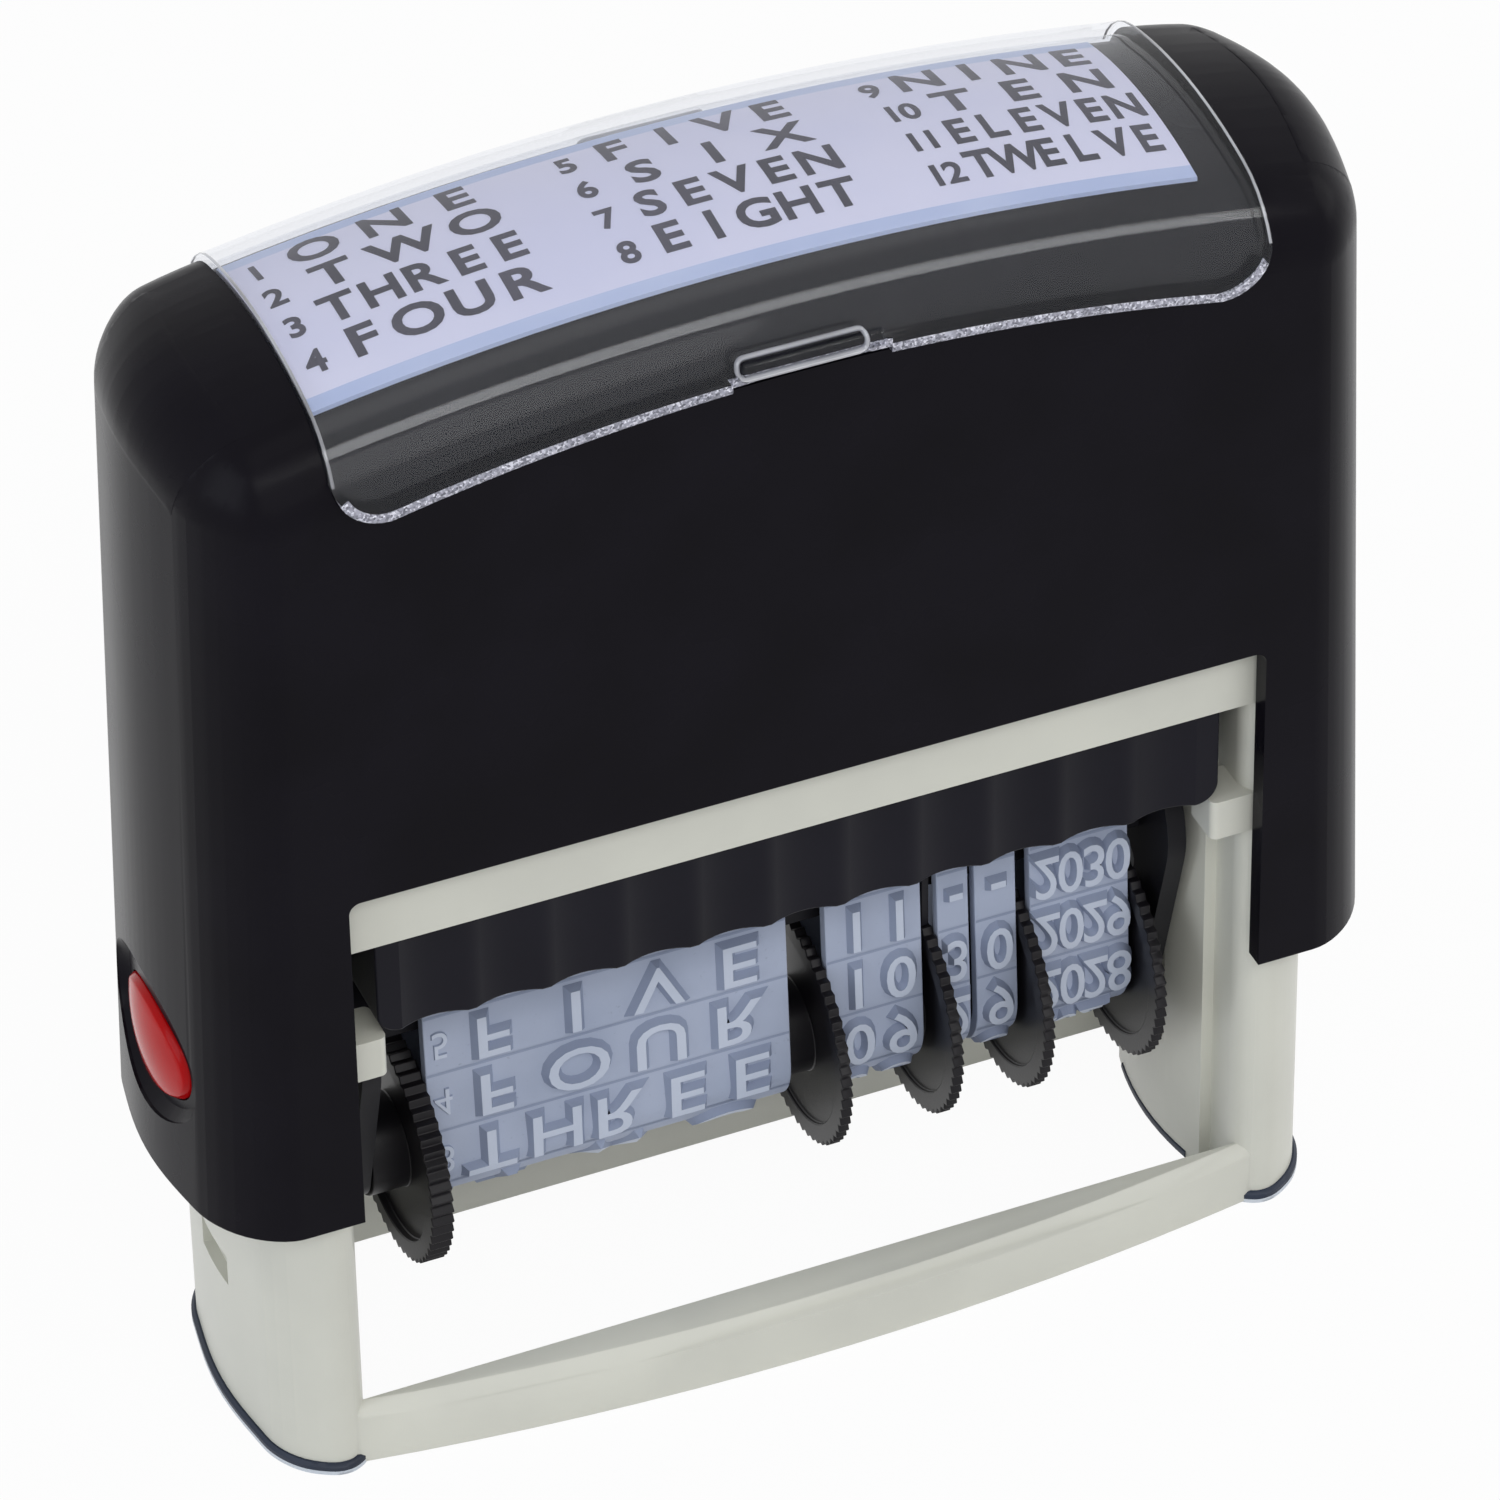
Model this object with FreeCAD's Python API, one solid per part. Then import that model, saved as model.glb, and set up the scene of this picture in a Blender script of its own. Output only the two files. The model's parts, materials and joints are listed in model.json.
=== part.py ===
import FreeCAD, Part

import math
import os

# A self-inking stamp with one wide phrase band and four narrow date bands.
# Sizes are millimetres. The front looks along -Y, the stamp prints on z = 0, and the origin is
# at the middle of the print on that surface. Pressing the cap down carries the type unit down
# and turns it over, so that the type that rests against the ink pad meets the paper.

# Motion
STROKE = 19.0
FLIP_DEG = 180.0
TYPE_RADIUS = 9.3
TYPE_RELIEF = 0.5
PAPER_GAP = 0.1
PAD_GAP = 0.3
FOLLOWER_RADIUS = 5.0

# Clearances
RUNNING_GAP = 0.05
SLIDE_GAP = 0.15
SIDE_GAP = 0.1
SEAT_GAP = 0.05

# Cap shell
CAP_HALF_WIDTH = 41.2
CAP_HALF_DEPTH = 12.2
CAP_SKIRT_Z = 21.9
CAP_DRAFT_PER_MM = 0.0284
CAP_EDGE_RADIUS = 5.5
SHOULDER_PROUD = 0.02
CAP_TOP_Z = 86.0
CAP_ARCH_RADIUS = 181.0
CAP_CROWN_RADIUS = 32.0
CAP_WALL = 1.4
CAP_END_WALL = 2.0
CAP_CEILING = 3.3
NOTCH_GAP = 0.3
NOTCH_TOP_Z = 47.6
NOTCH_CORNER_RADIUS = 0.8

# Index cover and card
COVER_INSET = 0.3
COVER_PROUD = 0.4
COVER_THICKNESS = 0.8
COVER_SKIRT_DROP = 7.0
COVER_SKIRT_RADIUS = 130.0
COVER_SKIRT_CORNER = 3.5
THUMB_HALF_WIDTH = 5.2
THUMB_STEP = 0.4
THUMB_RIB_HEIGHT = 1.2
CARD_LEFT_MARGIN = 0.4
CARD_RIGHT_MARGIN = 3.2
CARD_SETBACK = 4.2
CARD_THICKNESS = 0.3

# Lock buttons
BUTTON_Z = 30.9
BUTTON_HALF_WIDTH = 5.2
BUTTON_HALF_HEIGHT = 3.4
BUTTON_FLANGE = 1.2
BUTTON_FLANGE_THICKNESS = 0.7
BUTTON_TRAVEL = 0.8
BUTTON_DOME_RADIUS = 14.0
BUTTON_RIM_CHAMFER = 0.3
NIB_HALF_WIDTH = 2.0
NIB_HALF_HEIGHT = 0.9
RECESS_RISE = 0.6
RECESS_MARGIN = 1.3
RECESS_DEPTH = 0.8
RECESS_SLOPE = 0.7
OVAL_END_SHARE = 0.76
SEAT_MARGIN = 1.0

# Frame
LEG_SETBACK = 4.0
LEG_WIDTH = 6.5
LEG_WALL = 1.3
LEG_OUTER_CORNER = 4.2
LEG_INNER_CORNER = 2.0
LEG_FLOOR_Z = 3.0
BAR_TOP_Z = 4.6
BAR_SETBACK = 1.08
BAR_BOW = 2.7
BAR_EDGE = 0.7
BAR_FILLET = 0.9
BAR_LIFT = 0.1
PILASTER_DEPTH = 1.7
PILASTER_EDGE_DEPTH = 0.8
PILASTER_HALF_WIDTH = 6.3
GROOVE_DEPTH = 2.2
CAM_STEPS = 12
LEDGE_TOP_Z = 34.8
LEDGE_HEIGHT = 3.0
LEDGE_REACH = 2.4
LEDGE_LENGTH = 3.4
STRIP_BOTTOM_Z = 42.2
STRIP_SETBACK = 0.25
STRIP_WALL = 1.3
DECK_THICKNESS = 1.4
FOOT_THICKNESS = 0.8
FOOT_LIP = 0.35

# Ink cassette
TRAY_SIDE_ROOM = 1.9
TRAY_SETBACK = 0.45
TRAY_WALL = 1.2
TRAY_TOP_GAP = 0.2
TRAY_ROOF = 1.25
TRAY_CORNER = 1.5
FLUTE_PITCH = 5.0
FLUTE_WIDTH = 4.4
FLUTE_DEPTH = 0.5
REAR_LIP_GAP = 0.15

# Type unit
AXLE_DROP = 11.4
AXLE_RADIUS = 1.0
WHEEL_RADIUS = 8.3
WHEEL_TEETH = 58
TOOTH_DEPTH = 0.35
DISH_RIM = 1.5
DISH_DEPTH_SHARE = 0.35
HUB_RADIUS = 3.2
BAND_THICKNESS = 0.85
NOSE_HALF_WIDTH = 3.1
NOSE_CORNER = 1.25
BANDS_LEFT_ROOM = 3.8
BANDS_RIGHT_ROOM = 1.7
PHRASE_TO_DATE = 2.7
MONTH_WIDTH = 6.7
DAY_TENS_WIDTH = 2.2
DAY_UNITS_WIDTH = 2.9
YEAR_WIDTH = 7.0
MONTH_TO_DAY = 1.15
TENS_TO_UNITS = 0.45
UNITS_TO_YEAR = 1.0
PHRASE_RIM = 1.5
DATE_RIM = 0.75
CARRIER_ROOM = 2.1
CARRIER_PLATE = 1.3
CARRIER_TOP_RADIUS = 6.1
CARRIER_FOOT_RADIUS = 3.0
SPINE_HALF_WIDTH = 1.6
SPINE_BELOW = 1.5
SPINE_ABOVE = 2.0
GUIDE_FIN = 0.5
TRUNNION_RADIUS = 2.0
FOLLOWER_PIN_RADIUS = 1.0
FOLLOWER_END_GAP = 0.2

# Drive yoke and return springs
YOKE_ARM_GAP = 0.6
YOKE_ARM_HALF_WIDTH = 6.0
YOKE_PLATE = 2.0
YOKE_SEAT_RADIUS = 5.6
YOKE_SEAT_DROP = 0.4
TRUNNION_END_GAP = 0.3
SPRING_INSET = 8.7
SPRING_MEAN_RADIUS = 4.0
SPRING_WIRE_RADIUS = 0.55
SPRING_TURNS = 7
WIRE_SIDES = 6
WIRE_RUNS = 12
SPIGOT_RADIUS = 3.0
SPIGOT_HEIGHT = 3.0

# How far cutting tools stand clear of what they cut
CLEAR_OF = 1.1

# Sizes that follow from the ones above
TRUNNION_Z = STROKE + TYPE_RADIUS + PAPER_GAP
AXLE_Z = TRUNNION_Z - AXLE_DROP
BAND_FACE_RADIUS = TYPE_RADIUS - TYPE_RELIEF
PAD_FACE_Z = TRUNNION_Z + TYPE_RADIUS + PAD_GAP
CAP_AXIS_Z = CAP_TOP_Z - CAP_ARCH_RADIUS
CAP_TILT = math.atan(CAP_DRAFT_PER_MM)
CAP_INNER_Y = CAP_HALF_DEPTH - CAP_WALL
LEG_OUTER_X = CAP_HALF_WIDTH - LEG_SETBACK
LEG_INNER_X = LEG_OUTER_X - LEG_WIDTH
NOTCH_HALF_WIDTH = LEG_INNER_X + NOTCH_GAP
COVER_HALF_WIDTH = NOTCH_HALF_WIDTH - COVER_INSET
COVER_SKIRT_Z = CAP_TOP_Z - COVER_SKIRT_DROP
CARD_HALF_DEPTH = CAP_HALF_DEPTH - CARD_SETBACK
YOKE_HALF_DEPTH = CAP_HALF_DEPTH - CAP_CEILING - 2.0 * SLIDE_GAP
LEG_HALF_DEPTH = CAP_INNER_Y - SLIDE_GAP
STRIP_Y = LEG_HALF_DEPTH - STRIP_SETBACK
BAR_INNER_Y = LEG_HALF_DEPTH - BAR_SETBACK
TRAY_HALF_WIDTH = LEG_INNER_X - TRAY_SIDE_ROOM
TRAY_HALF_DEPTH = LEG_HALF_DEPTH - TRAY_SETBACK
LEG_TOP_Z = NOTCH_TOP_Z
CAVITY_INNER_X = LEG_INNER_X + LEG_WALL
CAVITY_OUTER_X = LEG_OUTER_X - LEG_WALL
GUIDE_BAY_TOP_Z = LEG_TOP_Z + STROKE + 1.0
CARD_TOP = COVER_PROUD - COVER_THICKNESS - SEAT_GAP
CARD_BED = CARD_TOP - CARD_THICKNESS - SEAT_GAP
CARRIER_OUTER_X = LEG_INNER_X - CARRIER_ROOM
CARRIER_INNER_X = CARRIER_OUTER_X - CARRIER_PLATE
PHRASE_LEFT = BANDS_LEFT_ROOM - CARRIER_INNER_X
PHRASE_WIDTH = 2.0 * CARRIER_INNER_X - BANDS_LEFT_ROOM - BANDS_RIGHT_ROOM - (
    PHRASE_TO_DATE + MONTH_WIDTH + MONTH_TO_DAY + DAY_TENS_WIDTH + TENS_TO_UNITS + DAY_UNITS_WIDTH
    + UNITS_TO_YEAR + YEAR_WIDTH)
SPRING_X = LEG_INNER_X - SPRING_INSET
FLANGE_INNER_X = LEG_OUTER_X + BUTTON_TRAVEL + SLIDE_GAP
FLANGE_OUTER_X = FLANGE_INNER_X + BUTTON_FLANGE_THICKNESS
BUTTON_SEAT_X = FLANGE_OUTER_X + SEAT_GAP
DECK_TOP_Z = STRIP_BOTTOM_Z + DECK_THICKNESS
SPRING_SEAT_Z = CAP_TOP_Z - CAP_CEILING - YOKE_PLATE - SEAT_GAP - YOKE_SEAT_DROP - (
    SPRING_X + YOKE_SEAT_RADIUS) ** 2 / (2.0 * CAP_ARCH_RADIUS)


def vec(x, y, z):
    return FreeCAD.Vector(x, y, z)


def box(x0, x1, y0, y1, z0, z1):
    return Part.makeBox(x1 - x0, y1 - y0, z1 - z0, vec(x0, y0, z0))


def rod_x(radius, x0, x1, y, z):
    return Part.makeCylinder(radius, x1 - x0, vec(x0, y, z), vec(1, 0, 0))


def line(a, b):
    return Part.LineSegment(a, b).toShape()


def arc(a, middle, b):
    return Part.Arc(a, middle, b).toShape()


def other_side(shape):
    return shape.mirror(vec(0, 0, 0), vec(1, 0, 0))


def both_sides(shape):
    return [shape, other_side(shape)]


def fuse_all(first, others):
    return first.fuse(others).removeSplitter()


def belt_wire(discs, x):
    """A tight belt round discs (y, z, radius), listed anticlockwise, in the plane at x."""
    normals = []
    for (ay, az, ar), (by, bz, br) in zip(discs, discs[1:] + discs[:1]):
        length = math.hypot(by - ay, bz - az)
        dy, dz = (by - ay) / length, (bz - az) / length
        along = (ar - br) / length
        across = math.sqrt(1.0 - along * along)
        normals.append(math.atan2(along * dz - across * dy, along * dy + across * dz))
    edges = []
    for i, (y, z, radius) in enumerate(discs):
        start = normals[i - 1]
        turn = (normals[i] - start) % (2.0 * math.pi)
        ends = [vec(x, y + radius * math.cos(a), z + radius * math.sin(a))
                for a in (start, start + turn / 2.0, start + turn)]
        ny, nz, nr = discs[(i + 1) % len(discs)]
        angle = normals[i]
        edges += [arc(*ends), line(ends[2], vec(x, ny + nr * math.cos(angle), nz + nr * math.sin(angle)))]
    return Part.Wire(edges)


def rounded_face(x0, x1, half_depth, r0, r1, z):
    """A rectangle with corner radius r0 at the x0 end and r1 at the x1 end."""
    d = half_depth
    k = 1.0 - math.sqrt(0.5)
    edges = [
        line(vec(x0 + r0, -d, z), vec(x1 - r1, -d, z)),
        arc(vec(x1 - r1, -d, z), vec(x1 - k * r1, -d + k * r1, z), vec(x1, -d + r1, z)),
        line(vec(x1, -d + r1, z), vec(x1, d - r1, z)),
        arc(vec(x1, d - r1, z), vec(x1 - k * r1, d - k * r1, z), vec(x1 - r1, d, z)),
        line(vec(x1 - r1, d, z), vec(x0 + r0, d, z)),
        arc(vec(x0 + r0, d, z), vec(x0 + k * r0, d - k * r0, z), vec(x0, d - r0, z)),
        line(vec(x0, d - r0, z), vec(x0, -d + r0, z)),
        arc(vec(x0, -d + r0, z), vec(x0 + k * r0, -d + k * r0, z), vec(x0 + r0, -d, z)),
    ]
    return Part.Face(Part.Wire(edges))


def oval_face(x, z, half_width, half_height):
    """An oval of four arcs in the plane at x, centred on y = 0."""
    end = half_height * OVAL_END_SHARE
    across = half_width - end
    side = (across ** 2 + half_height ** 2 - end ** 2) / (2.0 * (half_height - end))
    lean = math.atan2(side - half_height, across)
    y, rise = across + end * math.cos(lean), end * math.sin(lean)
    corners = [vec(x, -y, z - rise), vec(x, y, z - rise), vec(x, y, z + rise), vec(x, -y, z + rise)]
    return Part.Face(Part.Wire([
        arc(corners[0], vec(x, 0, z - half_height), corners[1]),
        arc(corners[1], vec(x, half_width, z), corners[2]),
        arc(corners[2], vec(x, 0, z + half_height), corners[3]),
        arc(corners[3], vec(x, -half_width, z), corners[0]),
    ]))


def oval_prism(x0, x1, z, half_width, half_height):
    return oval_face(x0, z, half_width, half_height).extrude(vec(x1 - x0, 0, 0))


def edges_where(shape, test):
    return [e for e in shape.Edges if test(e.BoundBox)]


def bay_block(half_width, half_depth, corner, z0, z1):
    """An upright block with round corners, for the hollows in the cap."""
    face = rounded_face(-half_width, half_width, half_depth, corner, corner, z0)
    return face.extrude(vec(0, 0, z1 - z0))


def rolled_centre(radius):
    """The centre of a ball of the edge radius that touches the cap's drafted right-hand end.

    The radius is the centre's distance from the arch's axis.
    """
    reach = (CAP_HALF_WIDTH * math.cos(CAP_TILT) - CAP_EDGE_RADIUS
             + (CAP_SKIRT_Z - CAP_AXIS_Z) * math.sin(CAP_TILT))
    angle = math.acos(reach / radius) + CAP_TILT
    return vec(radius * math.cos(angle), 0, CAP_AXIS_Z + radius * math.sin(angle))


def crown_block(grow):
    """The cap's cross-section, with its crown and top fillets, swept along the arch."""
    crown_z = CAP_TOP_Z - CAP_CROWN_RADIUS
    y = CAP_HALF_DEPTH - CAP_EDGE_RADIUS
    inner = CAP_CROWN_RADIUS - CAP_EDGE_RADIUS
    z = crown_z + math.sqrt(inner ** 2 - y ** 2)
    lean = math.atan2(z - crown_z, y)
    fillet = CAP_EDGE_RADIUS + grow
    wall = CAP_HALF_DEPTH + grow
    low = CAP_AXIS_Z + CAP_ARCH_RADIUS / 2.0

    def on_fillet(angle, side):
        return vec(0, side * (y + fillet * math.cos(angle)), z + fillet * math.sin(angle))

    profile = Part.Face(Part.Wire([
        line(vec(0, -wall, low), vec(0, wall, low)),
        line(vec(0, wall, low), on_fillet(0.0, 1)),
        arc(on_fillet(0.0, 1), on_fillet(lean / 2.0, 1), on_fillet(lean, 1)),
        arc(on_fillet(lean, 1), vec(0, 0, CAP_TOP_Z + grow), on_fillet(lean, -1)),
        arc(on_fillet(lean, -1), on_fillet(lean / 2.0, -1), on_fillet(0.0, -1)),
        line(on_fillet(0.0, -1), vec(0, -wall, low)),
    ]))
    half_angle = math.degrees(math.asin(CAP_HALF_WIDTH * CLEAR_OF / (CAP_ARCH_RADIUS / 2.0)))
    profile.rotate(vec(0, 0, CAP_AXIS_Z), vec(0, 1, 0), -half_angle)
    return profile.revolve(vec(0, 0, CAP_AXIS_Z), vec(0, 1, 0), 2.0 * half_angle)


def arch_block(sink):
    """The cap seen from the front, shrunk by a distance: drafted ends, round shoulders, the arch."""
    fillet = CAP_EDGE_RADIUS - sink
    centre = rolled_centre(CAP_ARCH_RADIUS - CAP_EDGE_RADIUS)
    top = math.atan2(centre.z - CAP_AXIS_Z, centre.x)
    foot_x = CAP_HALF_WIDTH - sink / math.cos(CAP_TILT)
    deep = CAP_HALF_DEPTH

    def on_shoulder(angle, side):
        return vec(side * (centre.x + fillet * math.cos(angle)), -deep, centre.z + fillet * math.sin(angle))

    half_turn = (CAP_TILT + top) / 2.0
    profile = Part.Face(Part.Wire([
        line(vec(-foot_x, -deep, CAP_SKIRT_Z), vec(foot_x, -deep, CAP_SKIRT_Z)),
        line(vec(foot_x, -deep, CAP_SKIRT_Z), on_shoulder(CAP_TILT, 1)),
        arc(on_shoulder(CAP_TILT, 1), on_shoulder(half_turn, 1), on_shoulder(top, 1)),
        arc(on_shoulder(top, 1), vec(0, -deep, CAP_TOP_Z - sink), on_shoulder(top, -1)),
        arc(on_shoulder(top, -1), on_shoulder(half_turn, -1), on_shoulder(CAP_TILT, -1)),
        line(on_shoulder(CAP_TILT, -1), vec(-foot_x, -deep, CAP_SKIRT_Z)),
    ]))
    return profile.extrude(vec(0, 2.0 * deep, 0))


def prism_y(points, half_depth):
    """A prism along Y from points in the plane of the cap's front."""
    corners = [vec(p.x, -half_depth, p.z) for p in points]
    return Part.Face(Part.makePolygon(corners + corners[:1])).extrude(vec(0, 2.0 * half_depth, 0))


def cap_end():
    """The cap's right-hand end, beyond the balls that roll round its edges.

    Returns the place that it fills and its parts: the end wall, the shoulder over it, and an
    upright edge and a ball at each corner.
    """
    radius, y = CAP_EDGE_RADIUS, CAP_HALF_DEPTH - CAP_EDGE_RADIUS
    outwards = vec(math.cos(CAP_TILT), 0, math.sin(CAP_TILT))
    upwards = vec(-math.sin(CAP_TILT), 0, math.cos(CAP_TILT))
    section = math.sqrt((CAP_CROWN_RADIUS - radius) ** 2 - y ** 2)
    corner = rolled_centre(CAP_ARCH_RADIUS - CAP_CROWN_RADIUS + section)
    middle = rolled_centre(CAP_ARCH_RADIUS - radius)
    foot = corner - upwards * (corner.z - CAP_SKIRT_Z + radius)
    far = 3.0 * radius
    radial = (corner - vec(0, 0, CAP_AXIS_Z)).normalize()
    place = prism_y([foot, corner, corner + radial * far, corner + (radial + outwards) * far,
                     foot + outwards * far], 2.0 * CAP_HALF_DEPTH)
    side = vec(0, y, 0)
    wall = Part.Face(Part.Wire([
        line(foot - side, foot + side),
        line(foot + side, corner + side),
        arc(corner + side, middle, corner - side),
        line(corner - side, foot - side),
    ])).extrude(outwards * radius)
    drop = (middle - corner).dot(upwards)
    bend = (y * y + drop * drop) / (2.0 * drop)
    bend_centre = middle - upwards * bend
    lean = math.degrees(math.asin(y / bend))
    disc = Part.Face(Part.Wire(Part.makeCircle(radius + SHOULDER_PROUD, middle, vec(0, 1, 0))))
    disc.rotate(bend_centre, outwards, lean)
    shoulder = disc.revolve(bend_centre, -outwards, 2.0 * lean)
    post = Part.makeCylinder(radius, (corner - foot).Length, foot + side, upwards)
    away = (corner + side - bend_centre).normalize()
    fan = [corner + side + p * far for p in (vec(0, 0, 0), vec(0, 1, 0), vec(0, 1, 0) + upwards, away)]
    wedge = Part.Face(Part.makePolygon(fan + fan[:1])).extrude(outwards * far)
    ball = Part.makeSphere(radius, corner + side).common(wedge)
    mirrored = [p.mirror(vec(0, 0, 0), vec(0, 1, 0)) for p in (post, ball)]
    return place, [p.common(place) for p in [wall, shoulder, post, ball] + mirrored]


def cap_outside():
    """The cap's outside: an arched crown between drafted ends, one radius rolled round its edges."""
    place, end = cap_end()
    span = box(-CAP_HALF_WIDTH, CAP_HALF_WIDTH, -CAP_HALF_DEPTH, CAP_HALF_DEPTH, CAP_SKIRT_Z, CAP_TOP_Z)
    middle = crown_block(0.0).common(span)
    for beyond in both_sides(place):
        middle = middle.cut(beyond)
    whole = fuse_all(middle, end + [other_side(p) for p in end])
    return whole.common(span)


def cover_region(grow):
    """What the clear cover hides, seen from the front: arched skirts with round corners."""
    half, top, deep = COVER_HALF_WIDTH + grow, CAP_TOP_Z * CLEAR_OF, CAP_HALF_DEPTH * CLEAR_OF
    skirt_z = COVER_SKIRT_Z - grow
    foot = skirt_z - COVER_SKIRT_RADIUS + math.sqrt(COVER_SKIRT_RADIUS ** 2 - half ** 2)
    face = Part.Face(Part.Wire([
        arc(vec(-half, -deep, foot), vec(0, -deep, skirt_z), vec(half, -deep, foot)),
        line(vec(half, -deep, foot), vec(half, -deep, top)),
        line(vec(half, -deep, top), vec(-half, -deep, top)),
        line(vec(-half, -deep, top), vec(-half, -deep, foot)),
    ]))
    prism = face.extrude(vec(0, 2.0 * deep, 0))
    low = edges_where(prism, lambda b: b.YLength > deep and b.ZMax < COVER_SKIRT_Z)
    return prism.makeFillet(COVER_SKIRT_CORNER + grow, low)


def index_cover():
    """The clear cover that clips over the crown, with a thumb step at its front and back."""
    shell = crown_block(COVER_PROUD).cut(crown_block(COVER_PROUD - COVER_THICKNESS))
    cover = shell.common(cover_region(0.0))
    half, deep = THUMB_HALF_WIDTH, CAP_HALF_DEPTH + COVER_PROUD
    step = box(-half, half, -deep - 1.0, deep + 1.0, 0, COVER_SKIRT_Z + THUMB_STEP)
    cover = cover.cut(step)
    rib_z = COVER_SKIRT_Z + THUMB_STEP + 0.3
    ribs = [box(-half + 0.6, half - 0.6, y - 0.35, y + 0.35, rib_z, rib_z + THUMB_RIB_HEIGHT)
            for y in (-deep, deep)]
    ribs = [r.makeFillet(0.3, edges_where(r, lambda b: b.XLength > half)) for r in ribs]
    return fuse_all(cover, ribs)


def index_card():
    """The printed card between the cover and the cap."""
    layer = crown_block(CARD_TOP).cut(crown_block(CARD_TOP - CARD_THICKNESS))
    area = box(CARD_LEFT_MARGIN - COVER_HALF_WIDTH, COVER_HALF_WIDTH - CARD_RIGHT_MARGIN,
               -CARD_HALF_DEPTH, CARD_HALF_DEPTH, CAP_SKIRT_Z, CAP_TOP_Z)
    return layer.common(area)


def button_recess():
    """The finger scoop round the lock button in the right-hand end wall."""
    floor_x = end_face_x(BUTTON_Z) - RECESS_DEPTH
    scoop = oval_prism(floor_x, CAP_HALF_WIDTH + 1.0, BUTTON_Z + RECESS_RISE,
                       BUTTON_HALF_WIDTH + RECESS_MARGIN + RECESS_SLOPE,
                       BUTTON_HALF_HEIGHT + RECESS_MARGIN + RECESS_SLOPE)
    return scoop.makeChamfer(RECESS_SLOPE, edges_where(scoop, lambda b: b.XMax < floor_x + 0.1))


def end_face_x(z):
    """How far the cap's end stands from the middle at height z."""
    return CAP_HALF_WIDTH - CAP_DRAFT_PER_MM * (z - CAP_SKIRT_Z)


def ceiling_bay():
    """The hollow over the guide bay, with a plainly arched ceiling for the drive yoke."""
    bay = bay_block(CAP_HALF_WIDTH - CAP_CEILING, CAP_HALF_DEPTH - CAP_CEILING,
                    CAP_EDGE_RADIUS - CAP_CEILING, CAP_SKIRT_Z, CAP_TOP_Z)
    return bay.common(arch_block(CAP_CEILING))


def cap_shell():
    """The moulded outer cap, open below, with a window front and back."""
    outside = cap_outside()
    half = CAP_HALF_WIDTH - CAP_END_WALL
    bay = bay_block(half - CAP_DRAFT_PER_MM * (GUIDE_BAY_TOP_Z - CAP_SKIRT_Z), CAP_INNER_Y,
                    CAP_EDGE_RADIUS - CAP_WALL, CAP_SKIRT_Z, GUIDE_BAY_TOP_Z)
    shell = outside.cut(bay).cut(ceiling_bay())
    deep = CAP_HALF_DEPTH * CLEAR_OF
    notch = box(-NOTCH_HALF_WIDTH, NOTCH_HALF_WIDTH, -deep, deep, 0, NOTCH_TOP_Z)
    top_corners = edges_where(notch, lambda b: b.YLength > CAP_HALF_DEPTH and b.ZMin > CAP_SKIRT_Z)
    shell = shell.cut(notch.makeFillet(NOTCH_CORNER_RADIUS, top_corners))
    shell = shell.cut(cover_region(SEAT_GAP).cut(crown_block(CARD_BED)))
    flange_w = BUTTON_HALF_WIDTH + BUTTON_FLANGE + SEAT_MARGIN
    flange_h = BUTTON_HALF_HEIGHT + BUTTON_FLANGE + SEAT_MARGIN
    seat = oval_prism(BUTTON_SEAT_X, CAP_HALF_WIDTH, BUTTON_Z, flange_w, flange_h)
    seat = seat.common(outside)
    shell = fuse_all(shell, both_sides(seat))
    hole = oval_prism(BUTTON_SEAT_X - 1.0, CAP_HALF_WIDTH + 1.0, BUTTON_Z,
                      BUTTON_HALF_WIDTH + SIDE_GAP, BUTTON_HALF_HEIGHT + SIDE_GAP)
    flange_bay = oval_prism(LEG_OUTER_X, BUTTON_SEAT_X, BUTTON_Z,
                            BUTTON_HALF_WIDTH + BUTTON_FLANGE + SLIDE_GAP,
                            BUTTON_HALF_HEIGHT + BUTTON_FLANGE + SLIDE_GAP)
    for tool in both_sides(button_recess()) + both_sides(hole) + both_sides(flange_bay):
        shell = shell.cut(tool)
    return shell


def lock_button():
    """The right-hand button: a domed oval, a flange behind the wall and a nib that locks."""
    apex = end_face_x(BUTTON_Z)
    oval = oval_prism(FLANGE_INNER_X, apex + 1.0, BUTTON_Z, BUTTON_HALF_WIDTH, BUTTON_HALF_HEIGHT)
    dome = Part.makeSphere(BUTTON_DOME_RADIUS, vec(BUTTON_DOME_RADIUS - apex, 0, BUTTON_Z))
    oval = oval.common(other_side(dome))
    rim = edges_where(oval, lambda b: b.XMin > FLANGE_OUTER_X and b.XLength < 1.0)
    oval = oval.makeChamfer(BUTTON_RIM_CHAMFER, rim)
    flange = oval_prism(FLANGE_INNER_X, FLANGE_OUTER_X, BUTTON_Z, BUTTON_HALF_WIDTH + BUTTON_FLANGE,
                        BUTTON_HALF_HEIGHT + BUTTON_FLANGE)
    nib = box(LEG_OUTER_X + SIDE_GAP, FLANGE_INNER_X + 0.2, -NIB_HALF_WIDTH, NIB_HALF_WIDTH,
              BUTTON_Z - NIB_HALF_HEIGHT, BUTTON_Z + NIB_HALF_HEIGHT)
    return fuse_all(oval, [flange, nib])


def leg_face(grow, z):
    return rounded_face(LEG_INNER_X - grow, LEG_OUTER_X + grow, LEG_HALF_DEPTH + grow,
                        LEG_INNER_CORNER + grow, LEG_OUTER_CORNER + grow, z)


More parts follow.
